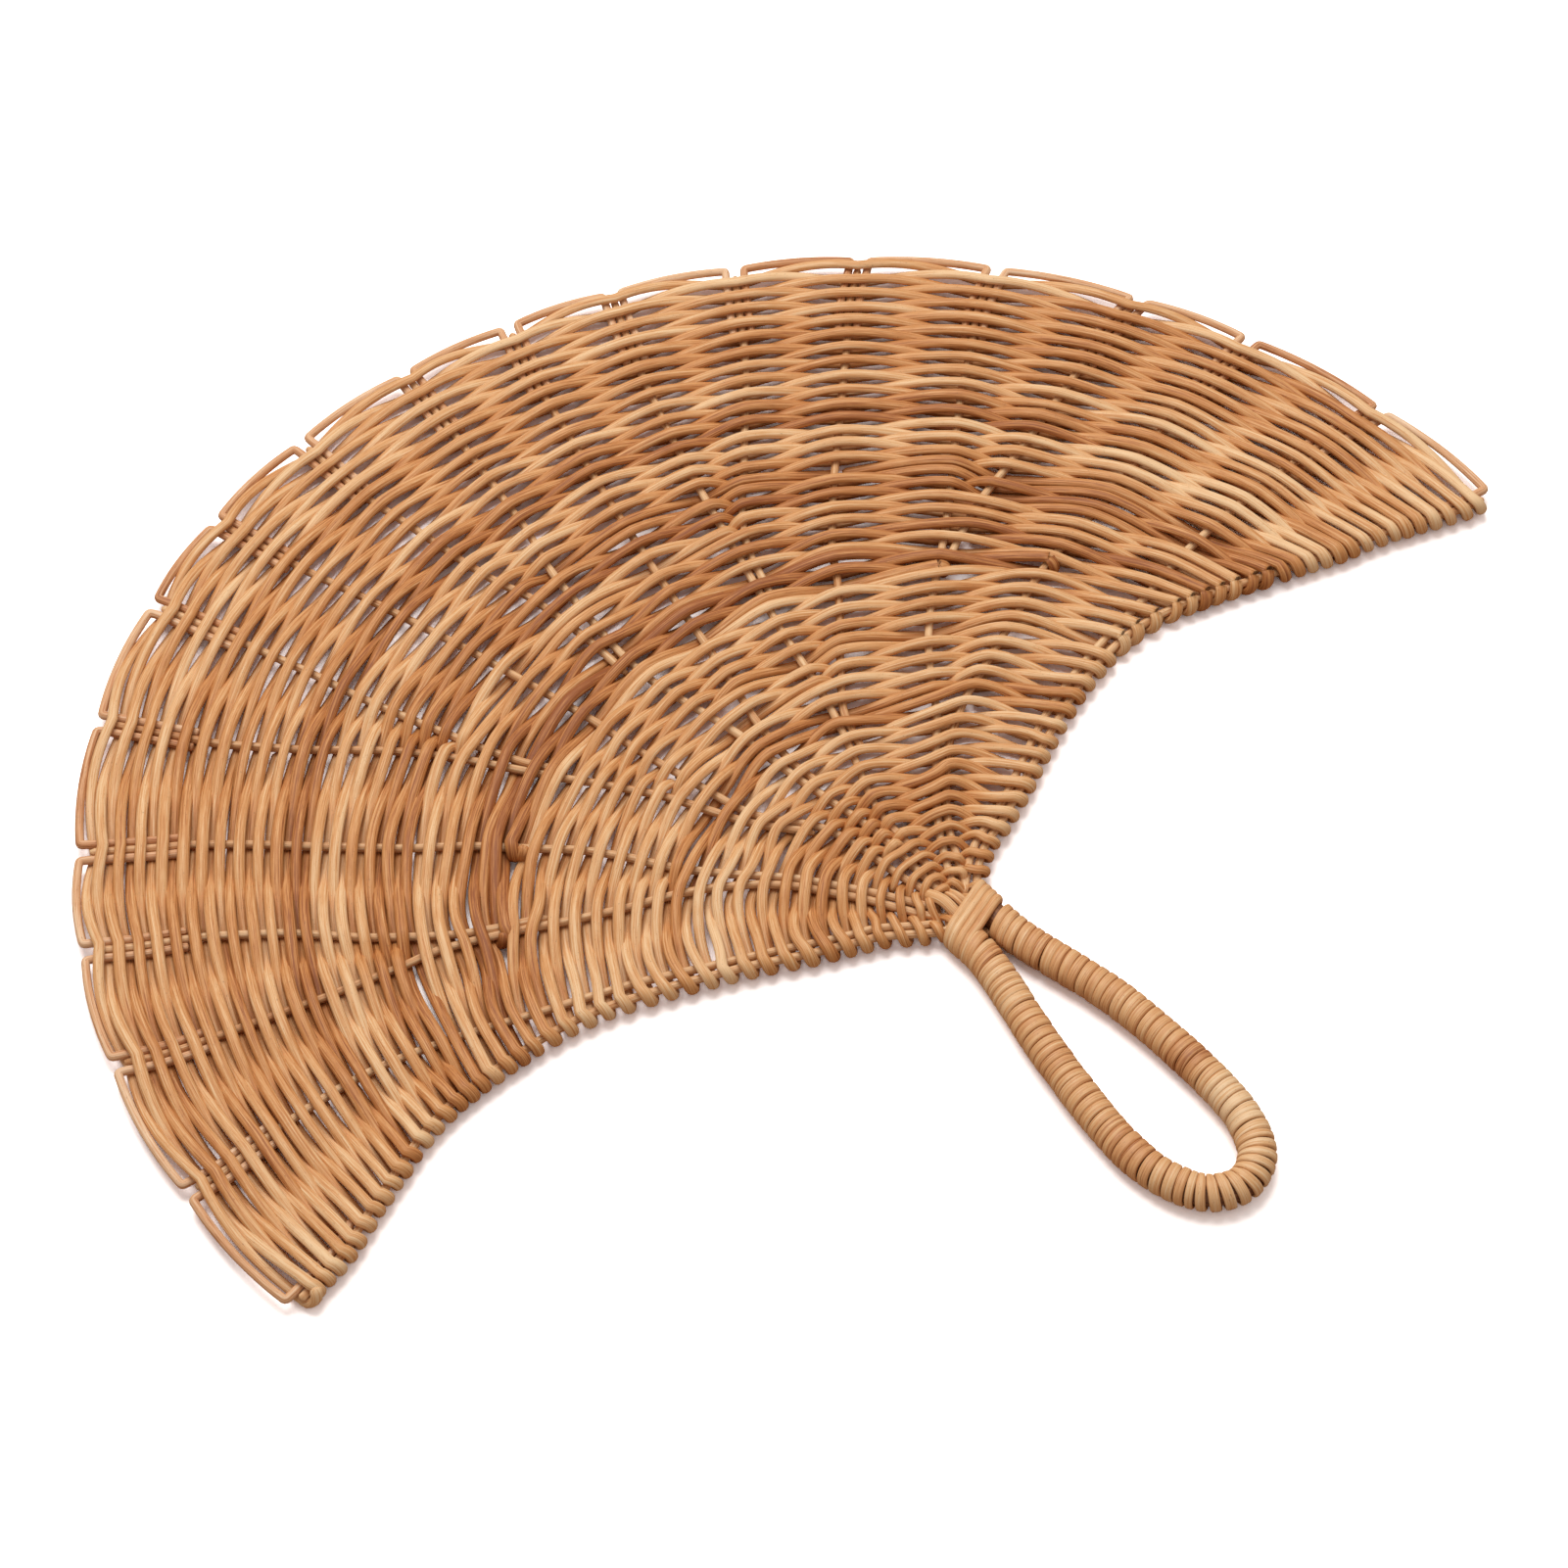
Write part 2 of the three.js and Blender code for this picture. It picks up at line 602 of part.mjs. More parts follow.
for (let rib = 0; rib < ribCount; rib += 1) add(`rib_${number(rib + 1)}`, makeRib(rib), 0xc79a6b, 0.7);
for (let arch = 0; arch < ribCount - 1; arch += 1) {
  add(`rim_arch_${number(arch + 1)}`, makeArch(arch), 0xcf9a72, 0.65);
}
cutPath(fullPath, WEAVER_COUNT).forEach((path, i) => {
  const shade = i < WEAVER_COUNT / 3 ? 0xd6a777 : 0xc8905c;
  add(`weaver_${number(i + 1)}`, sweep(path, () => flatSection(WEAVER_WIDTH, WEAVER_THICKNESS)), shade, 0.7);
});
['gore_weaver_wide', 'gore_weaver_narrow'].forEach((name, span) => {
  add(name, sweep(gorePath(span), () => flatSection(WEAVER_WIDTH, WEAVER_THICKNESS)), 0xd2a06c, 0.7);
});
add('handle_core', makeCore(), 0xb98555, 0.75);
const wrap = add('handle_wrap', makeWrap(), 0xcf9c6a, 0.6);
const lashing = add('neck_lashing', makeLashing(), 0xcc9664, 0.65);
add('hub_strand_left', makeHubStrand(-1), 0xd8ab7d, 0.7);
add('hub_strand_right', makeHubStrand(1), 0xd8ab7d, 0.7);

// The origin is the middle of the underside
const bounds = new THREE.Box3().setFromObject(fan, true);
const centre = bounds.getCenter(new THREE.Vector3());
fan.position.set(-centre.x, -centre.y, -bounds.min.z);
fan.updateMatrixWorld(true);

for (const [mesh, stepsPerLoop] of [[wrap, wrapStepsPerLoop], [lashing, 2 * (lashingHalfSteps + 1)]]) {
  const gap = leastTurnGap(mesh.geometry, stepsPerLoop);
  console.log(`${mesh.name}: least gap between turns ${gap.toFixed(2)} mm`);
}

export default fan;
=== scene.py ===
"""Rattan wall fan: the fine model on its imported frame, with a pale floor, soft light and camera.

Lengths are in millimetres from the hub, with +Y towards the rim and +Z towards the front.
``Bench.to_frame`` moves points to the frame, in metres. The studio is given in metres of the frame.
"""
import logging
import math
from dataclasses import dataclass
from enum import Enum
from functools import cached_property

import bpy
import numpy as np
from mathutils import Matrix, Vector


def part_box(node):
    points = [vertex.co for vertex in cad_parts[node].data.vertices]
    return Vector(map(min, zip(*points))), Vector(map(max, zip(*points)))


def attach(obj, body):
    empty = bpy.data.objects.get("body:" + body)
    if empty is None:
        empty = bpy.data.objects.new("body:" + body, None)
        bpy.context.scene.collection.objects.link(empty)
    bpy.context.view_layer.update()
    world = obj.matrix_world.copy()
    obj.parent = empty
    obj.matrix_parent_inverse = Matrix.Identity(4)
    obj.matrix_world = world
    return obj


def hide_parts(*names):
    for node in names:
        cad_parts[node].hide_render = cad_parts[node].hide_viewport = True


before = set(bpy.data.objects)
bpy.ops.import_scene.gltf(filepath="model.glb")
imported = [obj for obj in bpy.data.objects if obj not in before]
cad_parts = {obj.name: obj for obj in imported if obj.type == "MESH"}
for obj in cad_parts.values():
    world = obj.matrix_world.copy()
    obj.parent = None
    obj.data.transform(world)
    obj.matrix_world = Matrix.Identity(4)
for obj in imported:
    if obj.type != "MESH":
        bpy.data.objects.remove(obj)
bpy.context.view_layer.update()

LOG = logging.getLogger("rattan_fan")
MILLIMETRE = 0.001
UP = np.array([0.0, 0.0, 1.0])
BLUNT_END = 0.55  # Share of its radius that a rod keeps at a cut end.
PATTERN_STEP = 13.0  # Offset in the wood's pattern from one rod to the next.


class Slot(Enum):
    """Material slots of the part's record."""

    RIB = "rib_core"
    WEAVER = "weaver_core"
    RIM = "rim_core"
    POLE = "handle_pole"
    STRIP = "handle_strip"


# Lines


def length_along(points: np.ndarray) -> np.ndarray:
    """Length of the line through points, up to each of them."""
    return np.concatenate([[0.0], np.cumsum(np.linalg.norm(np.diff(points, axis=0), axis=1))])


def look_up(where: np.ndarray | float, known: np.ndarray, table: np.ndarray) -> np.ndarray:
    """Reads every column of a table whose rows stand at known, rising places."""
    return np.stack([np.interp(where, known, column) for column in table.T], axis=-1)


def spaced_evenly(points: np.ndarray, count: int) -> np.ndarray:
    """Places an equal length apart on the line through points, the ends among them."""
    along = length_along(points)
    return look_up(np.linspace(0.0, along[-1], count), along, points)


def ease(share: np.ndarray) -> np.ndarray:
    """Smooth step from 0 to 1: three times the square of the share less twice its cube."""
    share = np.clip(share, 0.0, 1.0)
    return share * share * (3.0 - 2.0 * share)


def bell(away: np.ndarray, reach: float) -> np.ndarray:
    """Bell curve: e to the power of minus the square of the distance over its reach."""
    return np.exp(-((away / reach) ** 2))


def mean_weights(places: int) -> np.ndarray:
    """Weights of a moving mean over an odd number of places, a cosine wave with sum 1."""
    wave = np.hanning(places + 2)[1:-1]
    return wave / wave.sum()


@dataclass(frozen=True)
class Drift:
    """A smooth random change along a line.

    Random numbers a wavelength apart are joined by half cosine waves.

    Attributes:
        change: Largest change.
        wavelength: Distance between the random numbers.
        seed: Seed of the numbers.
    """

    change: float
    wavelength: float
    seed: int

    def along(self, distance: np.ndarray, number: int = 0) -> np.ndarray:
        """Works the change out for one of several lines.

        Args:
            distance: Length along the line.
            number: Number of the line.

        Returns:
            The change at each distance.
        """
        rng = np.random.default_rng(self.seed + number)
        place = np.maximum(0.0, distance) / self.wavelength
        values = rng.uniform(-1.0, 1.0, int(place.max()) + 2)
        cell = place.astype(int)
        share = (1.0 - np.cos(np.pi * (place - cell))) / 2.0
        return self.change * (values[cell] * (1.0 - share) + values[cell + 1] * share)


def divide(chord: np.ndarray, step: float) -> tuple[np.ndarray, np.ndarray, np.ndarray]:
    """Divides each span of a line into equal steps, two or more.

    Args:
        chord: Length of each span.
        step: Longest distance between the places.

    Returns:
        The span of each place, its share of that span, and the index of the place where each span
        begins, with the line's end last.
    """
    counts = np.maximum(2, np.ceil(chord / step).astype(int))
    piece = np.repeat(np.arange(len(chord)), counts)
    first = np.concatenate([[0], np.cumsum(counts)])
    return piece, (np.arange(len(piece)) - first[piece]) / counts[piece], first


def cubic(
    start: np.ndarray, end: np.ndarray, leaving: np.ndarray, arriving: np.ndarray, t: np.ndarray
) -> np.ndarray:
    """Draws the cubic that runs between two points with a given slope at each.

    Args:
        start: First point.
        end: Last point.
        leaving: Slope at the first point, over the whole span.
        arriving: Slope at the last point, over the whole span.
        t: Share of the span at each place, as a column.

    Returns:
        Places, one row each.
    """
    rest = end - start
    square = 3.0 * rest - 2.0 * leaving - arriving
    return start + leaving * t + square * t**2 + (leaving + arriving - 2.0 * rest) * t**3


def through(points: np.ndarray, step: float) -> np.ndarray:
    """Runs a smooth line through points, bending no more than it must.

    Between two points it is the cubic with the slopes of the chords beside each, weighted by the
    chords' lengths.

    Args:
        points: Places to pass, one row each.
        step: Distance between the places given back.

    Returns:
        Places along the line.
    """
    chord = np.linalg.norm(np.diff(points, axis=0), axis=1)
    slope = np.diff(points, axis=0) / chord[:, None]
    before, after = chord[:-1, None], chord[1:, None]
    inner = (slope[:-1] * after + slope[1:] * before) / (before + after)
    tangent = np.vstack([slope[:1], inner, slope[-1:]])
    piece, t, _ = divide(chord, step)
    reach = chord[piece, None]
    leaving, arriving = reach * tangent[piece], reach * tangent[piece + 1]
    line = cubic(points[piece], points[piece + 1], leaving, arriving, t[:, None])
    return np.vstack([line, points[-1:]])


# Rods and strips


@dataclass
class Path:
    """A line in space that a section is carried along.

    Attributes:
        points: Places along the line, one row each.
        ups: Upward direction of the section at each place.
        tone: Lightness of the rod at each place, about 0 to 1.
    """

    points: np.ndarray
    ups: np.ndarray
    tone: np.ndarray

    @classmethod
    def lying(cls, line: np.ndarray, tone: float) -> "Path":
        """Path of one tone whose section stands upright."""
        return cls(line, np.tile(UP, (len(line), 1)), np.full(len(line), tone))

    @cached_property
    def distance(self) -> np.ndarray:
        """Length of the line up to each place."""
        return length_along(self.points)

    @cached_property
    def frames(self) -> tuple[np.ndarray, np.ndarray]:
        """Unit directions across and up at each place.

        Along is the mean of the directions to the neighbours, across is up times along, and the
        last is along times across.
        """
        along = np.gradient(self.points, axis=0)
        along /= np.linalg.norm(along, axis=1, keepdims=True) + 1e-12
        across = np.cross(self.ups, along)
        across /= np.linalg.norm(across, axis=1, keepdims=True) + 1e-12
        return across, np.cross(along, across)


@dataclass
class Surface:
    """A closed tube: a grid of points, along by around, with its ends capped.

    Attributes:
        grid: Points, along by around by three.
        grain: Place in the rod's own wood at each point, along and across the fibres.
        tone: Lightness at each point.
    """

    grid: np.ndarray
    grain: np.ndarray
    tone: np.ndarray


def sweep(
    path: Path, wide: np.ndarray, high: np.ndarray, squash: float = 1.0, strand: float = 0.0
) -> Surface:
    """Carries a section along a path.

    A point is centre + across * wide + up * high * squash.

    Args:
        path: Line of the section.
        wide: Place across the path of each point, along by around, counter-clockwise.
        high: Place upwards of each point, along by around.
        squash: Share of that height that the section has.
        strand: Offset of this rod in the wood's pattern.

    Returns:
        The swept surface.
    """
    across, upright = path.frames
    sideways = across[:, None] * wide[..., None]
    grid = path.points[:, None] + sideways + upright[:, None] * squash * high[..., None]
    along = np.broadcast_to(path.distance[:, None], wide.shape)
    grain = np.stack([along, wide + strand, high + strand], axis=2)
    return Surface(grid, grain, np.broadcast_to(path.tone[:, None], wide.shape))


def sweep_round(
    path: Path, radius: np.ndarray, sides: int, squash: float = 1.0, strand: float = 0.0
) -> Surface:
    """Carries an ellipse along a path: wide is r * cos a, high is r * sin a, at angle a around it.

    Args:
        path: Line of the rod.
        radius: Radius at each place.
        sides: Points around.
        squash: Height of the section as a share of its width.
        strand: Offset of this rod in the wood's pattern.

    Returns:
        The rod's surface.
    """
    angle = 2.0 * np.pi * np.arange(sides) / sides
    wide, high = radius[:, None] * np.cos(angle), radius[:, None] * np.sin(angle)
    return sweep(path, wide, high, squash, strand)


def round_off(path: Path, radius: np.ndarray | float, end: float = 0.5) -> np.ndarray:
    """Gives a rod's radius along a path, drawn in at both ends like a cut that has been rubbed.

    The radius is multiplied by the root of 1 - (1 - d / end) squared, where d is the distance to
    the nearer end, and the blunt end's share of it stays everywhere.

    Args:
        path: Line of the rod.
        radius: Radius along it.
        end: Length over which an end is rounded.

    Returns:
        Radius at each place.
    """
    near = np.minimum(path.distance, path.distance[-1] - path.distance)
    share = np.clip(near / end, 0.0, 1.0)
    return radius * np.maximum(BLUNT_END, np.sqrt(1.0 - (1.0 - share) ** 2))


@dataclass(frozen=True)
class RodKind:
    """Rods of one kind, which vary along their length and from one to the next.

    Attributes:
        sides: Points around.
        tone: Drift of the tone.
        girth: Drift of the radius, as a share of it.
        pattern: Offset of the first rod in the wood's pattern.
    """

    sides: int
    tone: Drift
    girth: Drift
    pattern: float

    def rod(self, number: int, line: np.ndarray, tone: float, radius: float) -> list[Surface]:
        """Makes a round rod with rubbed ends.

        Args:
            number: Number of the rod among its kind.
            line: Its middle line.
            tone: Its mean tone.
            radius: Its mean radius.

        Returns:
            Its surface.
        """
        path = Path.lying(line, tone)
        path.tone += self.tone.along(path.distance, number)
        girth = round_off(path, radius * (1.0 + self.girth.along(path.distance, number)))
        strand = self.pattern + PATTERN_STEP * number
        return [sweep_round(path, girth, self.sides, strand=strand)]


# The fan's plan


@dataclass(frozen=True)
class LaidIn:
    """Ribs laid in beside hosts that they part from further out.

    Attributes:
        ribs: Numbers of the ribs.
        hosts: The rib that each begins beside.
        starts: Radius where each begins.
        parted: Radius from which the rows weave them alone.
    """

    ribs: tuple[int, ...]
    hosts: tuple[int, ...]
    starts: tuple[float, ...]
    parted: float


@dataclass
class FanPlan:
    """Where the ribs run and where the rows of the weave cross them.

    Each rib's line is given by radii and angles in turn, the angles in degrees from the right.
    """

    rim_radius: float = 219.0
    hub_below_rim_centre: float = 35.0
    neck_below_hub: float = 3.5
    scallops: tuple[float, ...] = (
        12.2, 12.3, 10.3, 9, 12.1, 11.7, 9.2, 10, 10.5,
        9.4, 8.8, 10.1, 10.1, 10.9, 11.7, 9.6, 12.3, 11.7,
    )
    first_row: float = 5.4
    rim_margin: float = 1.0
    rib_diameter: float = 2.4
    clearance: float = 0.3
    full_rows: int = 86
    laid_in: tuple[LaidIn, ...] = (
        LaidIn((1, 17), (0, 18), (8, 8), 147),
        LaidIn((2, 16), (4, 14), (6, 6), 76),
        LaidIn((5, 13), (7, 11), (46, 60), 86),
        LaidIn((10,), (9,), (56,), 96),
        LaidIn((8,), (9,), (124,), 164),
        LaidIn((3, 15), (2, 14), (112, 127), 152),
        LaidIn((6, 12), (5, 11), (118, 118), 148),
    )
    first_crossing: float = 3.0
    gore_row: int = 43
    gore_radii: tuple[float, ...] = (
        124, 123.8, 122.3, 122, 120.3, 118.8, 118.5, 118, 118, 118,
        118, 118, 118, 118.3, 119, 119.4, 124.5, 125.5, 126.5,
    )
    gore_room: tuple[float, ...] = (
        0, 0.3, 1.6, 1.6, 3.1, 3.8, 3.8, 4, 4, 4, 4, 4, 4, 4, 3.4, 3.4, 1.2, 0.3, 0,
    )
    gore_ribs: tuple[tuple[int, int], ...] = ((2, 16), (4, 14))
    gore_rows: int = 2
    hub_bundle: tuple[int, ...] = (7, 9, 11)
    hub_bundle_radius: float = 24.0
    hub_spread: float = -0.085
    hub_reach: float = 0.25
    edge_drop: tuple[float, ...] = (5.5, 5.5, 3.6, 2.6, 1.4)
    edge_drop_start: float = 6.0
    edge_drop_end: float = 26.0
    table_start: float = 5.0
    table_end: float = 275.0
    table_step: float = 0.5
    evened_places: int = 25
    rib_lines: tuple[tuple[float, ...], ...] = (
        (
            6, 178, 9, 173.4, 14, 170.2, 20, 168.5, 26, 166.5, 34, 164.2, 42, 162.9, 52, 161.2,
            60, 160.2, 80, 159.6, 100, 159.9, 110, 160.5, 120, 161.7, 150, 165.7, 160, 167.4,
            180, 171.6, 200, 175.2,
        ),
        (
            6, 152, 9, 156, 14, 159, 26, 160, 34, 159.4, 45, 158, 60, 157.4, 90, 156.9, 120, 157.8,
            140, 158.2, 152, 158.6, 165, 159.2, 175, 160, 190, 161.5, 205, 163.2, 216, 164.4,
        ),
        (
            6, 150, 14, 140, 25, 134.6, 43, 131.1, 55, 132.2, 61, 133.6, 68, 134.9, 80, 137.9,
            90, 140.5, 105, 142.7, 118, 143.9, 135, 145.4, 145, 146.4, 152, 147.7, 163, 149,
            175, 150.3, 195, 151.8, 215, 153, 225, 153.3,
        ),
        (
            112, 142.1, 125, 143.4, 135, 144.1, 145, 144.2, 163, 143.9, 175, 143.3, 185, 142.9,
            205, 142.9, 215, 143.2, 225, 143.6,
        ),
        (
            6, 136, 14, 130, 25, 128.4, 43, 127.6, 55, 129.1, 61, 129.9, 77, 130.5, 92, 129.4,
            105, 129.3, 118, 130.3, 137, 131.2, 153, 132.5, 177, 133.3, 200, 133.8, 215, 134.3,
            225, 134.9,
        ),
        (
            46, 106.4, 52, 109.1, 57, 111.2, 63, 112.9, 70, 113.5, 83, 114.1, 90, 114.5, 100, 115.7,
            108, 116.5, 118, 117.6, 130, 118.4, 147, 119.3, 155, 119.9, 165, 120.6, 175, 121.6,
            190, 123.1, 205, 124, 215, 124.5,
        ),
        (
            118, 116.3, 130, 117.2, 142, 117.2, 155, 116.8, 165, 116.6, 186, 116, 197, 115.5,
            213, 115.1, 225, 114.9,
        ),
        (
            6, 106, 14, 106, 25, 103, 37, 101.6, 46, 103, 52, 106, 57, 108.4, 63, 110.3, 70, 110.2,
            76, 109.6, 90, 108.7, 105, 108, 120, 106.9, 138, 106.5, 165, 106.2, 200, 106.4,
            222, 106.7,
        ),
        (
            124, 97.9, 137, 97.2, 153, 97, 165, 97.1, 175, 97.9, 188, 98.2, 213, 98.3, 225, 98.5,
        ),
        (
            6, 88.5, 14, 89, 25, 89, 37, 90.3, 49, 92.6, 61, 93.8, 73, 94.3, 86, 94.5, 105, 96,
            118, 96.5, 130, 96, 147, 94.7, 168, 93.2, 183, 91.6, 203, 90.5, 225, 89.6,
        ),
        (
            56, 90.6, 67, 91.6, 79, 90.5, 86, 89.9, 95, 88.5, 105, 87.4, 118, 86.3, 140, 85.1,
            158, 84.2, 189, 83, 211, 82.2, 232, 81.7,
        ),
        (
            6, 76, 14, 76.5, 25, 80, 36, 82.2, 47, 80.1, 54, 78.2, 66, 76.3, 80, 75.4, 110, 75.7,
            126, 75.4, 173, 75, 190, 74.8, 222, 74.1,
        ),
        (
            118, 74.3, 130, 74.1, 140, 73.9, 147, 73.4, 157, 72.2, 171, 70, 188, 68.1, 200, 66.8,
            218, 65.6,
        ),
        (
            60, 74.2, 74, 73.7, 78, 72.9, 88, 70.3, 106, 66.8, 120, 65, 136, 64.1, 145, 63,
            155, 62.1, 166, 61, 182, 59.6, 193, 58.8, 213, 57.5, 226, 57,
        ),
        (
            6, 58, 14, 58, 25, 58, 37, 56.4, 46, 54.9, 56, 54, 68, 52.8, 86, 53.5, 97, 53.2,
            111, 52.2, 125, 50.8, 137, 49.9, 160, 49, 193, 48.2, 211, 47.4, 225, 47.1,
        ),
        (
            127, 49.4, 137, 47.8, 145, 46.6, 155, 44.8, 162, 43.5, 174, 41.7, 190, 39.8, 200, 38.8,
            222, 36.8,
        ),
        (
            6, 40, 14, 47, 25, 51.6, 37, 52.3, 46, 51.5, 56, 50.5, 69, 47.5, 76, 45.9, 84, 43.5,
            92, 41.8, 108, 38.9, 117, 38.2, 128, 36.6, 138, 34.9, 155, 32.3, 167, 31.2, 195, 29.3,
            213, 27.7,
        ),
        (
            6, 59, 9, 50.6, 14, 43.2, 20, 35.9, 26, 31.6, 34, 29, 42, 28.2, 60, 28.2, 73, 28,
            90, 26.5, 105, 24.8, 125, 22.7, 145, 21.6, 163, 20.2, 183, 18.5, 200, 17.1, 212, 16,
        ),
        (
            6, 33.2, 14, 32.1, 20, 28.1, 26, 25.6, 34, 24.4, 52, 24.8, 60, 25.1, 80, 24.9, 90, 24.3,
            100, 23.3, 110, 22.1, 120, 20.1, 140, 14.9, 150, 12.5, 170, 8.8, 190, 6.4, 210, 3.7,
        ),
    )
    tip_lifts: tuple[float, ...] = (
        0.2, 0.1, 0.6, 0.6, 0.4, 1.5, 1.4, 1, 0.2, -0.8,
        -1.8, -2.4, -2.6, -2.4, -2.4, -2.5, -2.1, -1.4, 0.2,
    )
    last_row_below_tip: float = 2.4

    @cached_property
    def rib_count(self) -> int:
        """Number of ribs."""
        return len(self.scallops) + 1

    @cached_property
    def middle(self) -> int:
        """Number of the middle rib."""
        return (self.rib_count - 1) // 2

    @cached_property
    def tip_degrees(self) -> np.ndarray:
        """Angle of each tip about the rim circle's centre, from the left edge to the right."""
        steps = np.array(self.scallops)
        return 90.0 + steps.sum() / 2.0 - np.concatenate([[0.0], np.cumsum(steps)])

    def rim_point(self, degrees: np.ndarray, radius: np.ndarray | float) -> np.ndarray:
        """Turns a rim-circle angle and radius into a place seen from the hub.

        Args:
            degrees: Angles about the rim circle's centre.
            radius: Distances from that centre.

        Returns:
            Places, one row each.
        """
        angle = np.radians(degrees)
        x = radius * np.cos(angle)
        y = self.hub_below_rim_centre + radius * np.sin(angle)
        return np.stack([x, y, np.zeros_like(x)], axis=-1)

    @cached_property
    def tips(self) -> np.ndarray:
        """Place of each rib's tip."""
        return self.rim_point(self.tip_degrees, self.rim_radius)

    @cached_property
    def tip_radii(self) -> np.ndarray:
        """Distance of each tip from the hub."""
        return np.linalg.norm(self.tips, axis=1)

    @cached_property
    def hosts(self) -> dict[int, int]:
        """Host of each laid-in rib."""
        return {rib: host for entry in self.laid_in for rib, host in zip(entry.ribs, entry.hosts)}

    @cached_property
    def rib_starts(self) -> dict[int, float]:
        """Radius where each laid-in rib begins."""
        return {rib: at for entry in self.laid_in for rib, at in zip(entry.ribs, entry.starts)}

    @cached_property
    def rib_table(self) -> tuple[np.ndarray, np.ndarray]:
        """Radii half a millimetre apart, and every rib's place there.

        A rib's angle runs straight between the pairs of its line and on to its tip, and is evened
        out by a weighted mean over 13 mm. Close to the hub the outer ribs also drop towards the
        lashing, which holds them.
        """
        radii = np.arange(self.table_start, self.table_end, self.table_step)
        angles = np.zeros((self.rib_count, len(radii)))
        for rib, numbers in enumerate(self.rib_lines):
            tip = math.degrees(math.atan2(self.tips[rib][1], self.tips[rib][0]))
            known = np.reshape([*numbers, self.tip_radii[rib], tip], (-1, 2))
            padded = np.pad(np.interp(radii, *known.T), self.evened_places // 2, "edge")
            angles[rib] = np.convolve(padded, mean_weights(self.evened_places), "valid")
        angles = np.radians(angles)
        x, y = radii * np.cos(angles), radii * np.sin(angles)
        line = np.stack([x, y, np.zeros_like(angles)], axis=2)
        drop = np.zeros(self.rib_count)
        drop[: len(self.edge_drop)] = self.edge_drop
        drop = np.maximum(drop, drop[::-1])
        share = (radii - self.edge_drop_start) / (self.edge_drop_end - self.edge_drop_start)
        line[:, :, 1] -= drop[:, None] * (1.0 - ease(share))
        return radii, line

    def rib_point(self, rib: int, radius: np.ndarray | float) -> np.ndarray:
        """Place of a rib at a radius, or one row for each of several radii."""
        radii, lines = self.rib_table
        return look_up(radius, radii, lines[rib])

    def outward(self, rib: int, radius: float, side: float) -> np.ndarray:
        """Unit direction across a rib at a radius: to its left for side 1, its right for -1."""
        along = self.rib_point(rib, radius + 1.0) - self.rib_point(rib, radius - 1.0)
        along /= np.linalg.norm(along)
        return np.array([-along[1], along[0], 0.0]) * side

    @cached_property
    def last_rows(self) -> np.ndarray:
        """Radius of the last row at each rib."""
        return self.tip_radii + np.array(self.tip_lifts) - self.last_row_below_tip

    def eased(self, share: float) -> float:
        """Finds how far a row lies on the way from the first row to the gore.

        The rows lie closer at first. What they lack decays as an exponential.

        Args:
            share: Number of the row as a share of the rows on that way.

        Returns:
            Share of the way.
        """
        lack, whole = (
            self.hub_spread * (1 - math.exp(-part / self.hub_reach)) for part in (share, 1.0)
        )
        return (share + lack) / (1 + whole)

    def extra_rows(self, rib: int) -> int:
        """Number of extra rows that cross a rib."""
        return self.gore_rows * sum(low <= rib <= high for low, high in self.gore_ribs)

    def row_radius(self, rib: int, row: int, gore_step: int = 0) -> float:
        """Finds the radius of a row at a rib.

        Args:
            rib: Number of the rib.
            row: Number of the full row.
            gore_step: Place among the extra rows that follow it, counted from the rim, or 0.

        Returns:
            Distance from the hub.
        """
        gore, room, extra = self.gore_radii[rib], self.gore_room[rib], self.extra_rows(rib)
        if row <= self.gore_row and not gore_step:
            return self.first_row + (gore - self.first_row) * self.eased(row / self.gore_row)
        if gore_step:
            rank = (extra + 1 - gore_step) * (room + 1) / (extra + 1)
        else:
            rank = row - self.gore_row + room
        ranks = self.full_rows - 1 - self.gore_row + room
        return gore + (self.last_rows[rib] - gore) * rank / ranks

    @cached_property
    def free_rows(self) -> dict[int, int]:
        """First row that weaves each laid-in rib alone.

        A single rib changes which side the later rows take beyond it, so it is parted on an even
        row.
        """
        rows = {}
        for entry in self.laid_in:
            parting = (
                row
                for row in range(0, self.full_rows, 1 if len(entry.ribs) > 1 else 2)
                if min(self.row_radius(rib, row) for rib in entry.ribs) >= entry.parted
            )
            rows.update(dict.fromkeys(entry.ribs, next(parting, self.full_rows)))
        return rows

    def beside(self, rib: int, row: int) -> int | None:
        """Host that a laid-in rib still lies beside at a row, if there is one."""
        return self.hosts[rib] if row < self.free_rows.get(rib, 0) else None

    def groups(self, row: int, low: int, high: int) -> list[list[int]]:
        """Lists the ribs that a row crosses, from left to right.

        Ribs that it passes together, on one side, make a group.

        Args:
            row: Number of the full row.
            low: First rib.
            high: Last rib.

        Returns:
            Lists of rib numbers.
        """
        found: list[list[int]] = []
        for rib in range(low, high + 1):
            radius = self.row_radius(rib, row)
            if rib in self.hosts and radius < self.rib_starts[rib] + self.first_crossing:
                continue
            last = found[-1] if found else []
            hosted = self.beside(rib, row) in last
            hosting = any(self.beside(other, row) == rib for other in last)
            bundled = radius < self.hub_bundle_radius and {rib, *last[-1:]} <= set(self.hub_bundle)
            if last and (hosted or hosting or bundled):
                last.append(rib)
            else:
                found.append([rib])
        return found

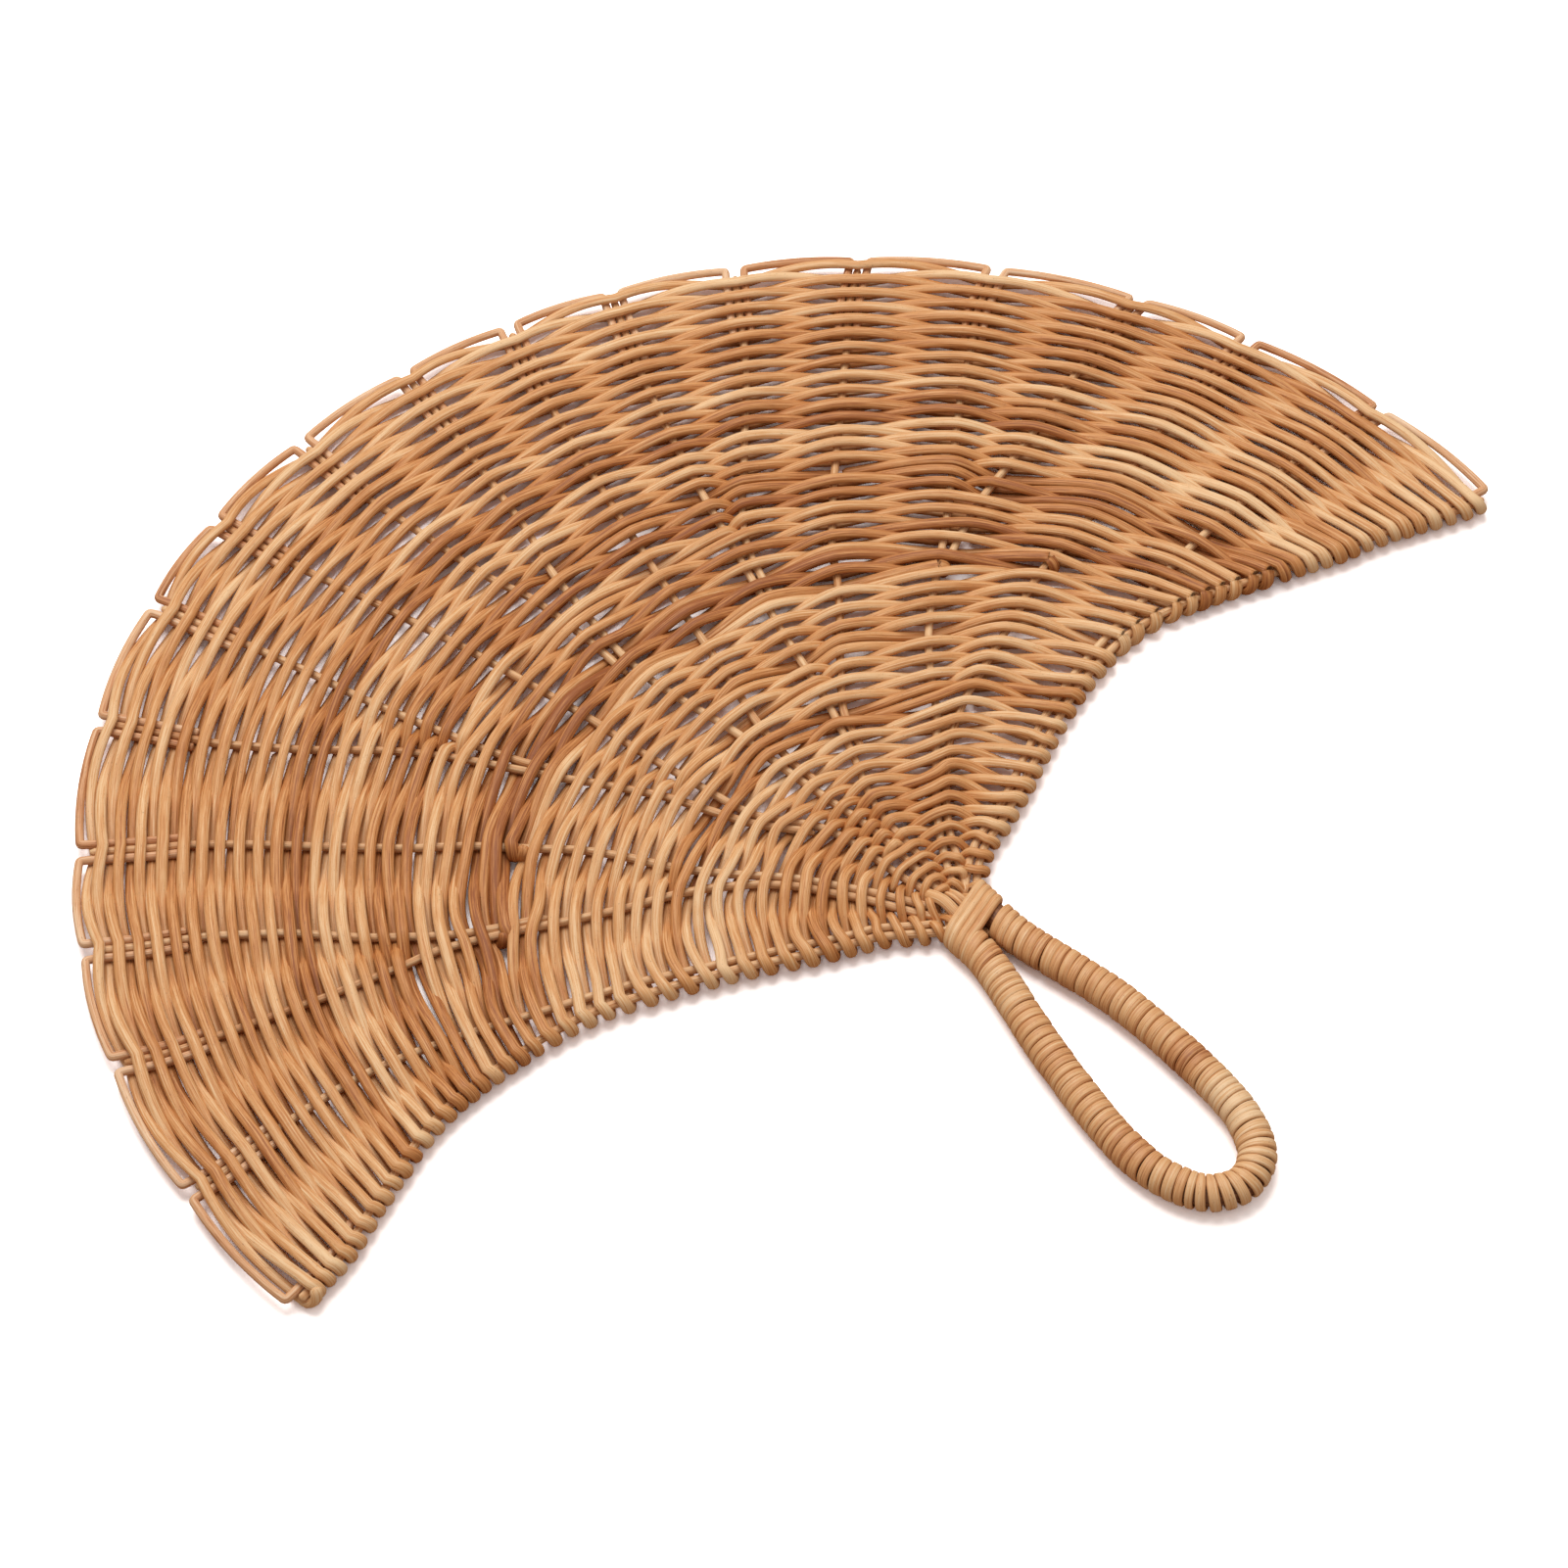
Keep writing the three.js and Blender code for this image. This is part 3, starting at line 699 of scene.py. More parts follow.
    def sides(self, row: int) -> dict[int, int]:
        """Finds where a full row passes over a rib and where under. Rows alternate at the left.

        Args:
            row: Number of the row. A number beyond the weave gives no ribs.

        Returns:
            1 for over or -1 for under, by rib.
        """
        if not 0 <= row < self.full_rows:
            return {}
        groups = self.groups(row, 0, self.rib_count - 1)
        return {
            rib: -1 if (row + k) % 2 else 1 for k, group in enumerate(groups) for rib in group
        }


# The weave


@dataclass
class Row:
    """One pass of a strand across the blade.

    Attributes:
        number: Number of the full row that it is or follows.
        side: 1 where it passes over its first group of ribs, -1 where it passes under.
        low: First rib.
        high: Last rib.
        gore_step: Place among the extra rows, counted from the rim, or 0.
    """

    number: int
    side: int
    low: int
    high: int
    gore_step: int = 0


@dataclass
class Weave:
    """The strands, in a plain over-and-under weave that turns round the edge ribs.

    Bands are given by radius, reach and change of tone, patches by place, reach and change.
    """

    plan: FanPlan
    strand_radius: float = 1.7
    squash: float = 0.74
    rise: float = 2.58
    tuck: tuple[float, float, float] = (0.985, 0.985, -1.0)
    turn_reach: float = 2.6
    turn_steps: int = 10
    turn_corners: int = 2
    steep_corners: int = 3
    steep_span: float = 13.0
    straightness: float = 0.35
    step: float = 1.15
    sides: int = 12
    wander: float = 0.7
    wander_waves: tuple[tuple[float, float], ...] = ((1.7, 0.31), (0.9, 0.13))
    wander_hub_reach: float = 30.0
    wander_rim_reach: float = 12.0
    wander_at_rim: float = 0.2
    jitter: float = 0.3
    same_side_shift: float = 0.55
    closing: float = 0.7
    closing_rows: float = 1.2
    closing_draw: float = 1.6
    rim_bow: float = 2.4
    rim_bow_reach: float = 9.0
    rim_bow_span: float = 25.0
    pieces: int = 14
    cut_length: float = 1.2
    cut_overlap: int = 2
    pattern_step: float = 17.0
    pressed: float = 1.12
    pressed_places: int = 15
    level: float = 0.99
    hub_room: float = 55.0
    hub_thinner: float = 0.24
    rod_shortest: float = 420.0
    rod_longest: float = 1250.0
    rod_joint: float = 0.97
    rod_tone: float = 0.5
    rod_tone_spread: float = 0.15
    rod_tone_range: tuple[float, float] = (0.15, 0.85)
    rod_width_range: tuple[float, float] = (0.86, 1.08)
    tone_drifts: tuple[Drift, ...] = (Drift(0.1, 140.0, 1), Drift(0.04, 24.0, 2))
    girth_drift: Drift = Drift(0.045, 31.0, 3)
    bands: tuple[tuple[float, float, float], ...] = (
        (22, 9, 0.07), (40, 8, -0.25), (82, 8, 0.04), (111, 8, 0.27), (127, 9, -0.28),
        (141, 8, -0.05), (153, 7, -0.1), (182, 8, -0.09), (241, 14, 0.25),
    )
    patches: tuple[tuple[float, float, float, float], ...] = (
        (-200, 12, 35, 0.36), (205, 12, 35, 0.36), (-100, 36, 26, 0.14),
        (102, 38, 26, 0.2), (165, 75, 32, 0.16), (36, 14, 12, 0.35),
    )
    seed: int = 11
    gore_seed: int = 61
    gore_pattern: int = 20

    def stations(self, row: Row) -> tuple[np.ndarray, np.ndarray]:
        """Finds the places where a row crosses the ribs, from left to right.

        Each lies on its rib at the row's radius, moved along the rib by a slow wave that
        neighbouring rows share and by a small random amount, and stands up or down by the rise. Two
        neighbouring rows that pass a rib on the same side are moved apart there.

        Args:
            row: The row.

        Returns:
            Places, and the numbers of their ribs.
        """
        rng = np.random.default_rng([self.seed, row.number, row.gore_step])
        points, ribs, over = [], [], row.side
        inner, here, outer = (self.plan.sides(row.number + step) for step in (-1, 0, 1))
        for group in self.plan.groups(row.number, row.low, row.high):
            for rib in group:
                radius = self.plan.row_radius(rib, row.number, row.gore_step)
                wave = math.prod(
                    math.sin(by_rib * rib + by_row * row.number)
                    for by_rib, by_row in self.wander_waves
                )
                from_hub = (radius - self.plan.first_row) / self.wander_hub_reach
                from_rim = (self.plan.last_rows[rib] - radius) / self.wander_rim_reach
                room = min(1.0, from_hub, from_rim + self.wander_at_rim)
                radius += self.wander * room * wave + rng.uniform(-self.jitter, self.jitter)
                if not row.gore_step:
                    crowded = (inner.get(rib) == here[rib]) - (outer.get(rib) == here[rib])
                    radius += self.same_side_shift * crowded
                point = self.plan.rib_point(rib, radius)
                point[2] = over * self.rise
                points.append(point)
                ribs.append(rib)
            over = -over
        return np.array(points), np.array(ribs)

    def trace(
        self, points: np.ndarray, ribs: np.ndarray, row: Row
    ) -> tuple[np.ndarray, np.ndarray]:
        """Draws a row through its crossings.

        Seen from above it is a smooth line through the crossings, and near the rim it also bows
        outwards between ribs by half a sine wave. Its height goes from one crossing to the next by
        half a cosine wave mixed with a straight slope.

        Args:
            points: Crossings, in the order of travel.
            ribs: Their ribs.
            row: The row.

        Returns:
            Places along the row, and the indices of the crossings among them.
        """
        flat = points * (1.0, 1.0, 0.0)
        chord = np.linalg.norm(np.diff(flat, axis=0), axis=1)
        line = through(flat, self.step)
        piece, t, first = divide(chord, self.step)
        half_wave = (1 - np.cos(np.pi * t)) / 2
        share = (1 - self.straightness) * half_wave + self.straightness * t
        height = points[piece, 2] * (1 - share) + points[piece + 1, 2] * share
        line[:, 2] = np.concatenate([height, points[-1:, 2]])
        radii = np.array([self.plan.row_radius(rib, row.number, row.gore_step) for rib in ribs])
        room = self.plan.last_rows[ribs] - radii
        bow = self.rim_bow * np.exp(-(room[piece] + room[piece + 1]) / 2 / self.rim_bow_reach)
        bow *= np.sin(np.pi * t) * np.minimum(1.0, chord[piece] / self.rim_bow_span)
        away = line[:-1, :2] / np.linalg.norm(line[:-1, :2], axis=1, keepdims=True)
        line[:-1, :2] += away * (bow + self.close_gap(row, ribs, piece, t))[:, None]
        return line, first

    def close_gap(
        self, row: Row, ribs: np.ndarray, piece: np.ndarray, t: np.ndarray
    ) -> np.ndarray:
        """Moves a row into the gap that extra rows leave where they turn round a rib.

        It is a half sine wave drawn towards the turn. It decays as an exponential with the number
        of rows between the row and the gap.

        Args:
            row: The row.
            ribs: Ribs that it crosses.
            piece: Span of each place.
            t: Share of the span at each place.

        Returns:
            Distance outwards at each place.
        """
        extra = np.array([self.plan.extra_rows(rib) for rib in ribs])
        left, right = extra[piece], extra[piece + 1]
        if row.gore_step:
            side, away = -1.0, np.minimum(left, right) - row.gore_step
        elif row.number > self.plan.gore_row:
            side, away = -1.0, np.minimum(left, right) + row.number - self.plan.gore_row - 1
        else:
            side, away = 1.0, self.plan.gore_row - row.number
        toward = np.where(right > left, t, 1 - t) ** self.closing_draw
        wave = np.sin(np.pi * toward) * np.exp(-np.maximum(0.0, away) / self.closing_rows)
        return np.where(left != right, wave * self.closing * side, 0.0)

    def turn(
        self, last: np.ndarray, new: np.ndarray, outward: np.ndarray
    ) -> tuple[np.ndarray, np.ndarray]:
        """Draws a strand's turn round a rib.

        At angle a it is the mix of its ends by a / 180 degrees, moved outwards by the turn's reach
        times sin a, at the height of the first end times cos a.

        Args:
            last: Where the row before ends.
            new: Where the next row begins.
            outward: Direction away from the row.

        Returns:
            Places and upward directions of the section.
        """
        angle = np.linspace(0.0, np.pi, self.turn_steps + 1)[1:-1, None]
        side = math.copysign(1.0, last[2])
        flat = last * (1 - angle / np.pi) + new * angle / np.pi
        points = flat + outward * self.turn_reach * np.sin(angle)
        points[:, 2] = side * self.rise * np.cos(angle[:, 0])
        ups = outward * np.sin(angle) + UP * side * np.cos(angle)
        return points, ups

    def beyond(self, row: Row, side: float) -> np.ndarray:
        """Direction away from a row at its end: the left end for side 1, the right for -1."""
        rib = row.low if side > 0 else row.high
        radius = self.plan.row_radius(rib, row.number, row.gore_step)
        return self.plan.outward(rib, radius, side)

    def serpentine(self, rows: list[Row]) -> tuple[Path, list[tuple[int, int, bool]]]:
        """Joins rows end to end into one strand, with a turn between each two.

        Both ends of the strand also turn round their rib and are tucked behind it.

        Args:
            rows: Rows in order, the first from left to right.

        Returns:
            The strand, and for each crossing its index on the path, the number of corners that a
            plain model of the strand has up to it, and whether the strand may be joined there.
        """
        points, ups, crossings, count, corners = [], [], [], 0, 0
        for index, row in enumerate(rows):
            side = -1.0 if index % 2 else 1.0
            places, ribs = (found[:: int(side)] for found in self.stations(row))
            before = points[-1][-1] if index else places[0] * self.tuck
            bend, up = self.turn(before, places[0], self.beyond(row, side))
            line, at = self.trace(places, ribs, row)
            points += [bend, line]
            ups += [up, np.tile(UP * row.side, (len(line), 1))]
            count += len(bend)
            corners += self.turn_corners if index else 0
            spans = np.linalg.norm(np.diff(places[:, :2], axis=0), axis=1)
            height = places[:, 2]
            for k in range(len(places)):
                steep = 0 < k and spans[k - 1] < self.steep_span and height[k] != height[k - 1]
                corners += self.steep_corners if steep else 1
                free = k < len(spans) and height[k] < 0 < height[k + 1]
                crossings.append((count + int(at[k]), corners, bool(free)))
            count += len(line)
        end = points[-1][-1]
        bend, up = self.turn(end, end * self.tuck, self.beyond(rows[-1], -side))
        line = np.concatenate([*points, bend])
        return Path(line, np.concatenate([*ups, up]), np.zeros(len(line))), crossings

    def colour(self, path: Path, seed: int) -> np.ndarray:
        """Gives each rod that a strand is made of its own tone and thickness, and lets them drift.

        Rods of a lighter or darker colour were let in at some radii and places, each fading out as
        a bell curve. The rods are thinner near the hub, where the rows lie closest, and pressed
        wider where they turn.

        Args:
            path: The strand.
            seed: Seed of the numbers.

        Returns:
            Radius at each place. The path's tone is filled in.
        """
        rng = np.random.default_rng(seed)
        most = int(path.distance[-1] / self.rod_shortest) + 2
        ends = np.cumsum(rng.uniform(self.rod_shortest, self.rod_longest, most))
        under = path.distance[path.points[:, 2] < -self.rod_joint * self.rise]
        ends = under[np.minimum(np.searchsorted(under, ends), len(under) - 1)]
        rod = np.searchsorted(ends, path.distance)
        tones = rng.normal(self.rod_tone, self.rod_tone_spread, len(ends) + 1)
        widths = rng.uniform(*self.rod_width_range, len(ends) + 1)
        path.tone[:] = np.clip(tones, *self.rod_tone_range)[rod]
        for drift in self.tone_drifts:
            path.tone += drift.along(path.distance, seed)
        radii = np.linalg.norm(path.points[:, :2], axis=1)
        for radius, reach, change in self.bands:
            path.tone += change * bell(radii - radius, reach)
        for x, y, reach, change in self.patches:
            away = np.linalg.norm(path.points[:, :2] - (x, y), axis=1)
            path.tone += change * bell(away, reach)
        room = 1.0 - self.hub_thinner * (1.0 - ease(radii / self.hub_room))
        turned = np.abs(path.ups[:, 2]) < self.level
        turning = np.convolve(turned, mean_weights(self.pressed_places), "same")
        room *= 1.0 + (self.pressed - 1.0) * turning
        swell = 1.0 + self.girth_drift.along(path.distance, seed)
        return self.strand_radius * room * widths[rod] * swell

    def cut(self, path: Path, crossings: list[tuple[int, int, bool]]) -> list[tuple[int, int]]:
        """Shares one long strand out into lengths that follow one another.

        Args:
            path: The strand.
            crossings: What serpentine gave with it.

        Returns:
            First and last index of each length.
        """
        total = crossings[-1][1]
        cuts = [0]
        for piece in range(1, self.pieces):
            goal = total * piece / self.pieces
            later = [(abs(c - goal), at) for at, c, free in crossings if free and at > cuts[-1]]
            cuts.append(min(later)[1])
        cuts.append(len(path.points) - 1)
        return list(zip(cuts[:-1], cuts[1:]))

    def strand(
        self, path: Path, radius: np.ndarray, first: int, last: int, number: int
    ) -> list[Surface]:
        """Makes one length of a strand, with its start a little beyond the end of the one before.

        Args:
            path: The whole strand.
            radius: Its radius.
            first: Index where the length begins.
            last: Index where it ends.
            number: Number of its place in the wood's pattern.

        Returns:
            Its surface.
        """
        part = slice(first + (self.cut_overlap if first else 0), last + 1)
        length = Path(path.points[part], path.ups[part], path.tone[part])
        girth = round_off(length, radius[part], self.cut_length)
        return [sweep_round(length, girth, self.sides, self.squash, self.pattern_step * number)]

    def build(self) -> dict[str, list[Surface]]:
        """Makes every strand.

        Returns:
            Surfaces by the name of the strand's node.
        """
        plan, made = self.plan, {}
        edge = plan.rib_count - 1
        path, crossings = self.serpentine(
            [Row(row, -1 if row % 2 else 1, 0, edge) for row in range(plan.full_rows)]
        )
        radius = self.colour(path, self.seed)
        for k, (first, last) in enumerate(self.cut(path, crossings)):
            made[f"weaver_{k + 1:02d}"] = self.strand(path, radius, first, last, k)
        row = plan.gore_row
        for span, name in enumerate(("gore_weaver_wide", "gore_weaver_narrow")):
            low, high = plan.gore_ribs[span]
            groups = plan.groups(row, 0, edge)
            before = next(i for i, group in enumerate(groups) if low in group)
            steps = [plan.gore_rows * (span + 1) - i for i in range(plan.gore_rows)]
            sides = [-1 if (before + row + step) % 2 else 1 for step in steps]
            rows = [Row(row, side, low, high, step) for side, step in zip(sides, steps)]
            gore, _ = self.serpentine(rows)
            girth = self.colour(gore, self.gore_seed + span)
            last = len(gore.points) - 1
            made[name] = self.strand(gore, girth, 0, last, self.gore_pattern + span)
        return made


# Ribs and rim


@dataclass
class Ribs:
    """The blade's ribs, round rods that fan out from the hub."""

    plan: FanPlan
    start: float = 6.0
    step: float = 2.0
    last_step: float = 0.5
    neck_bend: int = 4
    tone: float = 0.66
    tone_spread: float = 0.14
    tone_pace: float = 2.3
    kind: RodKind = RodKind(12, Drift(0.12, 50.0, 300), Drift(0.03, 20.0, 350), 400.0)

    def build(self) -> dict[str, list[Surface]]:
        """Makes every rib: a circle carried along its line, from the hub or its host to the rim.

        The middle rib and the two edge ribs go on into the neck.

        Returns:
            Surfaces by the name of the rib's node.
        """
        plan, made = self.plan, {}
        necks = {0: -1.0, plan.middle: 0.0, plan.rib_count - 1: 1.0}
        for rib in range(plan.rib_count):
            start = plan.rib_starts.get(rib, self.start)
            tip = plan.tip_radii[rib] + plan.tip_lifts[rib] - plan.rim_margin
            radii = np.append(np.arange(start, tip - self.last_step, self.step), tip)
            line = plan.rib_point(rib, radii)
            if rib in necks:
                x = necks[rib] * (plan.rib_diameter + 2 * plan.clearance)
                low = -plan.neck_below_hub + plan.clearance
                ends = np.array([[x, low, 0.0], [x, low + plan.rib_diameter, 0.0]])
                line = through(np.vstack([ends, line[:1], line[self.neck_bend :]]), self.step)
            tone = self.tone + self.tone_spread * math.sin(self.tone_pace * rib)
            made[f"rib_{rib + 1:02d}"] = self.kind.rod(rib, line, tone, plan.rib_diameter / 2)
        return made


@dataclass
class Rim:
    """The rim's arches: rods bent to a U, each with its two legs pushed in beside two ribs."""

    plan: FanPlan
    diameter: float = 2.5
    leg: float = 27.0
    lift: float = 1.8
    bulge: float = 0.8
    corner: float = 0.2
    corner_inset: float = 0.1
    leg_step: float = 0.9
    bow_places: int = 48
    step: float = 0.45
    rounding: tuple[float, ...] = (0.1, 0.2, 0.4, 0.2, 0.1)
    tones: tuple[float, float] = (0.42, 0.75)
    seed: int = 500
    kind: RodKind = RodKind(14, Drift(0.12, 30.0, 520), Drift(0.04, 22.0, 540), 700.0)

    def arch(self, left: int) -> list[Surface]:
        """Makes the arch between two ribs.

        Its bow lies a little outside the rim circle, raised by the bulge times 1 - (2u - 1)
        squared over its share u. The line through its legs, corners and bow is rounded by a
        moving mean.

        Args:
            left: The rib at its left.

        Returns:
            Its surface.
        """
        plan = self.plan
        space = (plan.rib_diameter + self.diameter) / 2 + plan.clearance
        legs = []
        for rib, side in ((left, -1.0), (left + 1, 1.0)):
            tip = plan.tip_radii[rib] + plan.tip_lifts[rib]
            radii = np.arange(tip - self.leg, tip - self.corner, self.leg_step)
            across = np.array([plan.outward(rib, radius, side) for radius in radii])
            legs.append(plan.rib_point(rib, radii) + across * space)
        inset = math.degrees((space + self.corner_inset) / plan.rim_radius)
        low, high = plan.tip_degrees[left] - inset, plan.tip_degrees[left + 1] + inset
        u = np.linspace(0.0, 1.0, self.bow_places)
        lift = plan.tip_lifts[left] * (1 - u) + plan.tip_lifts[left + 1] * u
        height = plan.rim_radius + lift + self.lift + self.bulge * (1 - (2 * u - 1) ** 2)
        line = np.vstack([legs[0], plan.rim_point(low + (high - low) * u, height), legs[1][::-1]])
        line = spaced_evenly(line, int(length_along(line)[-1] / self.step))
        beside = len(self.rounding) // 2
        padded = np.pad(line, ((beside, beside), (0, 0)), "edge")
        line = sum(padded[k : k + len(line)] * weight for k, weight in enumerate(self.rounding))
        tone = np.random.default_rng(self.seed + left).uniform(*self.tones)
        return self.kind.rod(left, line, tone, self.diameter / 2)

    def build(self) -> dict[str, list[Surface]]:
        """Makes every arch, by the name of its node."""
        return {f"rim_arch_{k + 1:02d}": self.arch(k) for k in range(self.plan.rib_count - 1)}


# The hand loop


@dataclass
class LoopLine:
    """The hand loop's centre line, a teardrop, and what is wound round it."""

    plan: FanPlan
    neck_length: float = 15.0
    leg_gap: float = 0.3
    width: float = 32.6
    taper_length: float = 74.0
    taper_fullness: tuple[float, float] = (0.66, 0.78)
    end_depth: float = 27.8
    end_fullness: float = 0.88
    end_points: int = 7
    lean: float = 2.8
    lean_start: float = 15.0
    lean_end: float = 110.0
    places_per_span: int = 60
    places: int = 900
    outer_radius: float = 4.8
    breadth: float = 1.2
    height: float = 0.9
    lashing_slant: float = 7.4

    @cached_property
    def leg(self) -> float:
        """Distance of each leg from the middle at the neck."""
        return self.outer_radius * self.breadth + self.leg_gap / 2

    @cached_property
    def centre(self) -> np.ndarray:
        """Places on the line, from the left leg round to the right one.

        It runs through two points of the neck, the middle of the taper and seven points of half an
        ellipse that is a little blunter at its end. Between two points it is the cubic whose
        slopes come from the roots of the chords. Further down, the loop leans a little to the
        left.
        """
        half, foot = self.width / 2, -self.plan.neck_below_hub
        top = foot - self.neck_length
        end = top - self.taper_length
        taper = (top + end) / 2
        left, right = (self.leg + (half - self.leg) * fullness for fullness in self.taper_fullness)
        angle = np.radians(np.linspace(180.0, 360.0, self.end_points))
        across = np.sign(np.cos(angle)) * np.abs(np.cos(angle)) ** self.end_fullness
        points = np.vstack([
            [[-self.leg, foot], [-self.leg, top], [-left, taper]],
            np.stack([half * across, end + self.end_depth * np.sin(angle)], axis=1),
            [[right, taper], [self.leg, top], [self.leg, foot]],
        ])
        points = np.vstack([2 * points[:1] - points[1:2], points, 2 * points[-1:] - points[-2:-1]])
        t = np.linspace(0.0, 1.0, self.places_per_span, endpoint=False)[:, None]
        pieces = []
        for a, b, c, d in zip(points[:-3], points[1:-2], points[2:-1], points[3:]):
            ab, bc, cd = (math.sqrt(np.linalg.norm(q - p)) for p, q in ((a, b), (b, c), (c, d)))
            leaving = ((b - a) / ab - (c - a) / (ab + bc) + (c - b) / bc) * bc
            arriving = ((c - b) / bc - (d - b) / (bc + cd) + (d - c) / cd) * bc
            pieces.append(cubic(b, c, leaving, arriving, t))
        line = np.vstack([*pieces, points[-2:-1]])
        share = (-line[:, 1] - self.lean_start) / (self.lean_end - self.lean_start)
        line[:, 0] -= self.lean * ease(share)
        flat = spaced_evenly(line, self.places)
        return np.column_stack([flat, np.full(len(flat), self.height)])

    @cached_property
    def lengths(self) -> np.ndarray:
        """Length along the line."""
        return length_along(self.centre)

    def at(self, distance: np.ndarray) -> tuple[np.ndarray, np.ndarray, np.ndarray]:
        """Reads the line at each distance.

        Args:
            distance: Lengths along the line.

        Returns:
            Places, unit directions to the left of the line, and bend per millimetre to the left.
        """
        tangent = np.gradient(self.centre[:, :2], self.lengths, axis=0)
        bend = np.gradient(np.unwrap(np.arctan2(tangent[:, 1], tangent[:, 0])), self.lengths)
        along = look_up(distance, self.lengths, tangent)
        along /= np.linalg.norm(along, axis=1, keepdims=True)
        left = np.column_stack([-along[:, 1], along[:, 0], np.zeros(len(along))])
        place = look_up(distance, self.lengths, self.centre)
        return place, left, np.interp(distance, self.lengths, bend)

    def slope(self, radius: float) -> float:
        """Rise per millimetre to the right of what is wound round both legs at a radius."""
        return self.lashing_slant / (2 * self.leg + 2 * self.breadth * radius)


@dataclass
class Core:
    """The hand loop's thick rod."""

    loop: LoopLine
    diameter: float = 6.5
    cut: int = 8
    step: int = 4
    sides: int = 20
    tone: float = 0.3
    pattern: float = 900.0

    def build(self) -> list[Surface]:
        """Makes the rod: an ellipse carried along the loop's line."""
        path = Path.lying(self.loop.centre[self.cut :: self.step], self.tone)
        girth = round_off(path, self.loop.breadth * self.diameter / 2)
        return [sweep_round(path, girth, self.sides, 1.0 / self.loop.breadth, self.pattern)]


@dataclass
class Winding:
    """The split reed wound round the hand loop.

    Its bands of tone are given by middle, reach and change, as shares of its length.
    """

    loop: LoopLine
    turns: int = 77
    steps: int = 28
    bare_left: float = 11.4
    bare_right: float = 8.2
    uneven: float = 0.26
    sunk: float = 0.3
    sunk_power: float = 1.5
    tilt: float = 0.2
    tilt_phase: float = 0.7
    slant_fade: float = 9.0
    most_squeeze: float = 0.5
    reed_height: float = 1.15
    gap: float = 0.06
    cover: float = 0.98
    shoulder: float = 1.94
    power: float = 6.5
    corners: int = 13
    tone: float = 0.52
    tone_spread: float = 0.13
    tone_weights: tuple[float, ...] = (0.35,) * 5
    bands: tuple[tuple[float, float, float], ...] = (
        (0.6, 0.05, 0.26), (0.7, 0.025, -0.22), (0.36, 0.035, -0.16), (0.06, 0.03, 0.12),
    )
    tone_drift: Drift = Drift(0.05, 12.0, 35)
    pattern: float = 950.0
    seed: int = 31

    @cached_property
    def reed(self) -> np.ndarray:
        """Section of the reed, as pairs of share of the width and height.

        It is flat underneath. Its back is its height times the root of 1 - |s x| to a power, over
        the share x of the width and its shoulder s, which makes it flat with round shoulders.
        """
        x = 0.5 * np.cos(np.linspace(0.0, np.pi, self.corners))
        back = np.sqrt(1 - np.abs(self.shoulder * x) ** self.power)
        top = np.stack([x, (self.reed_height - self.gap) * back], axis=1)
        return np.vstack([[[-0.5, 0.0], [0.0, 0.0], [0.5, 0.0]], top])

    def build(self) -> list[Surface]:
        """Makes the winding: a helix of split reed round the loop's line.

        At angle a of the helix a point is centre + radius * (left * breadth * cos a + up * sin a).
        The reed is narrower on the inside of a bend, where its turns come closer. Each turn has
        its own width, depth, tilt and tone, and the first turns lie along the lashing's slant.

        Returns:
            Its surface.
        """
        loop, rng = self.loop, np.random.default_rng(self.seed)
        end = loop.lengths[-1] - self.bare_right
        turn = np.arange(self.turns * self.steps + 1) / self.steps
        count = np.arange(self.turns + 1)
        widths = rng.uniform(1 - self.uneven, 1 + self.uneven, self.turns)
        edges = np.concatenate([[0.0], np.cumsum(widths)])
        edges *= (end - self.bare_left) / edges[-1]
        distance = self.bare_left + np.interp(turn, count, edges)
        pitch = np.interp(turn + 0.5, count, edges) - np.interp(turn - 0.5, count, edges)
        pitch /= np.minimum(turn + 0.5, self.turns) - np.maximum(turn - 0.5, 0.0)
        tilts = rng.uniform(-self.tilt, self.tilt, self.turns + 1)
        depths = rng.uniform(0.0, self.sunk, self.turns + 1) ** self.sunk_power
        place, left, bend = loop.at(distance)
        angle = 2 * np.pi * turn
        radial = left * (loop.breadth * np.cos(angle))[:, None] + UP * np.sin(angle)[:, None]
        along = np.column_stack([left[:, 1], -left[:, 0], np.zeros(len(left))])
        bottom = loop.outer_radius - self.reed_height
        tilt = np.interp(turn, count, tilts) * np.cos(angle + self.tilt_phase)
        radius = bottom - np.interp(turn, count, depths)
        point = place + radial * radius[:, None] + along * tilt[:, None]
        near = np.minimum(distance - self.bare_left, end - distance)
        fading = loop.slope(bottom) * np.exp(-near / self.slant_fade)
        point[:, 1] += fading * (point[:, 0] - place[:, 0])
        closer = bend * loop.breadth * loop.outer_radius * np.cos(angle)
        squeeze = 1 - np.clip(closer, 0.0, self.most_squeeze)
        path = Path(point, radial, np.zeros(len(point)))
        noise = rng.normal(0.0, self.tone_spread, self.turns + len(self.tone_weights))
        tones = self.tone + np.convolve(noise, self.tone_weights, "valid")
        share = np.linspace(0.0, 1.0, self.turns + 1)
        for middle, reach, change in self.bands:
            tones += change * bell(share - middle, reach)
        path.tone[:] = np.interp(turn, count, tones) + self.tone_drift.along(path.distance)
        wide = (pitch * squeeze * self.cover)[:, None] * self.reed[:, 0]
        high = np.broadcast_to(self.reed[:, 1], wide.shape)
        return [sweep(path, wide, high, strand=self.pattern)]


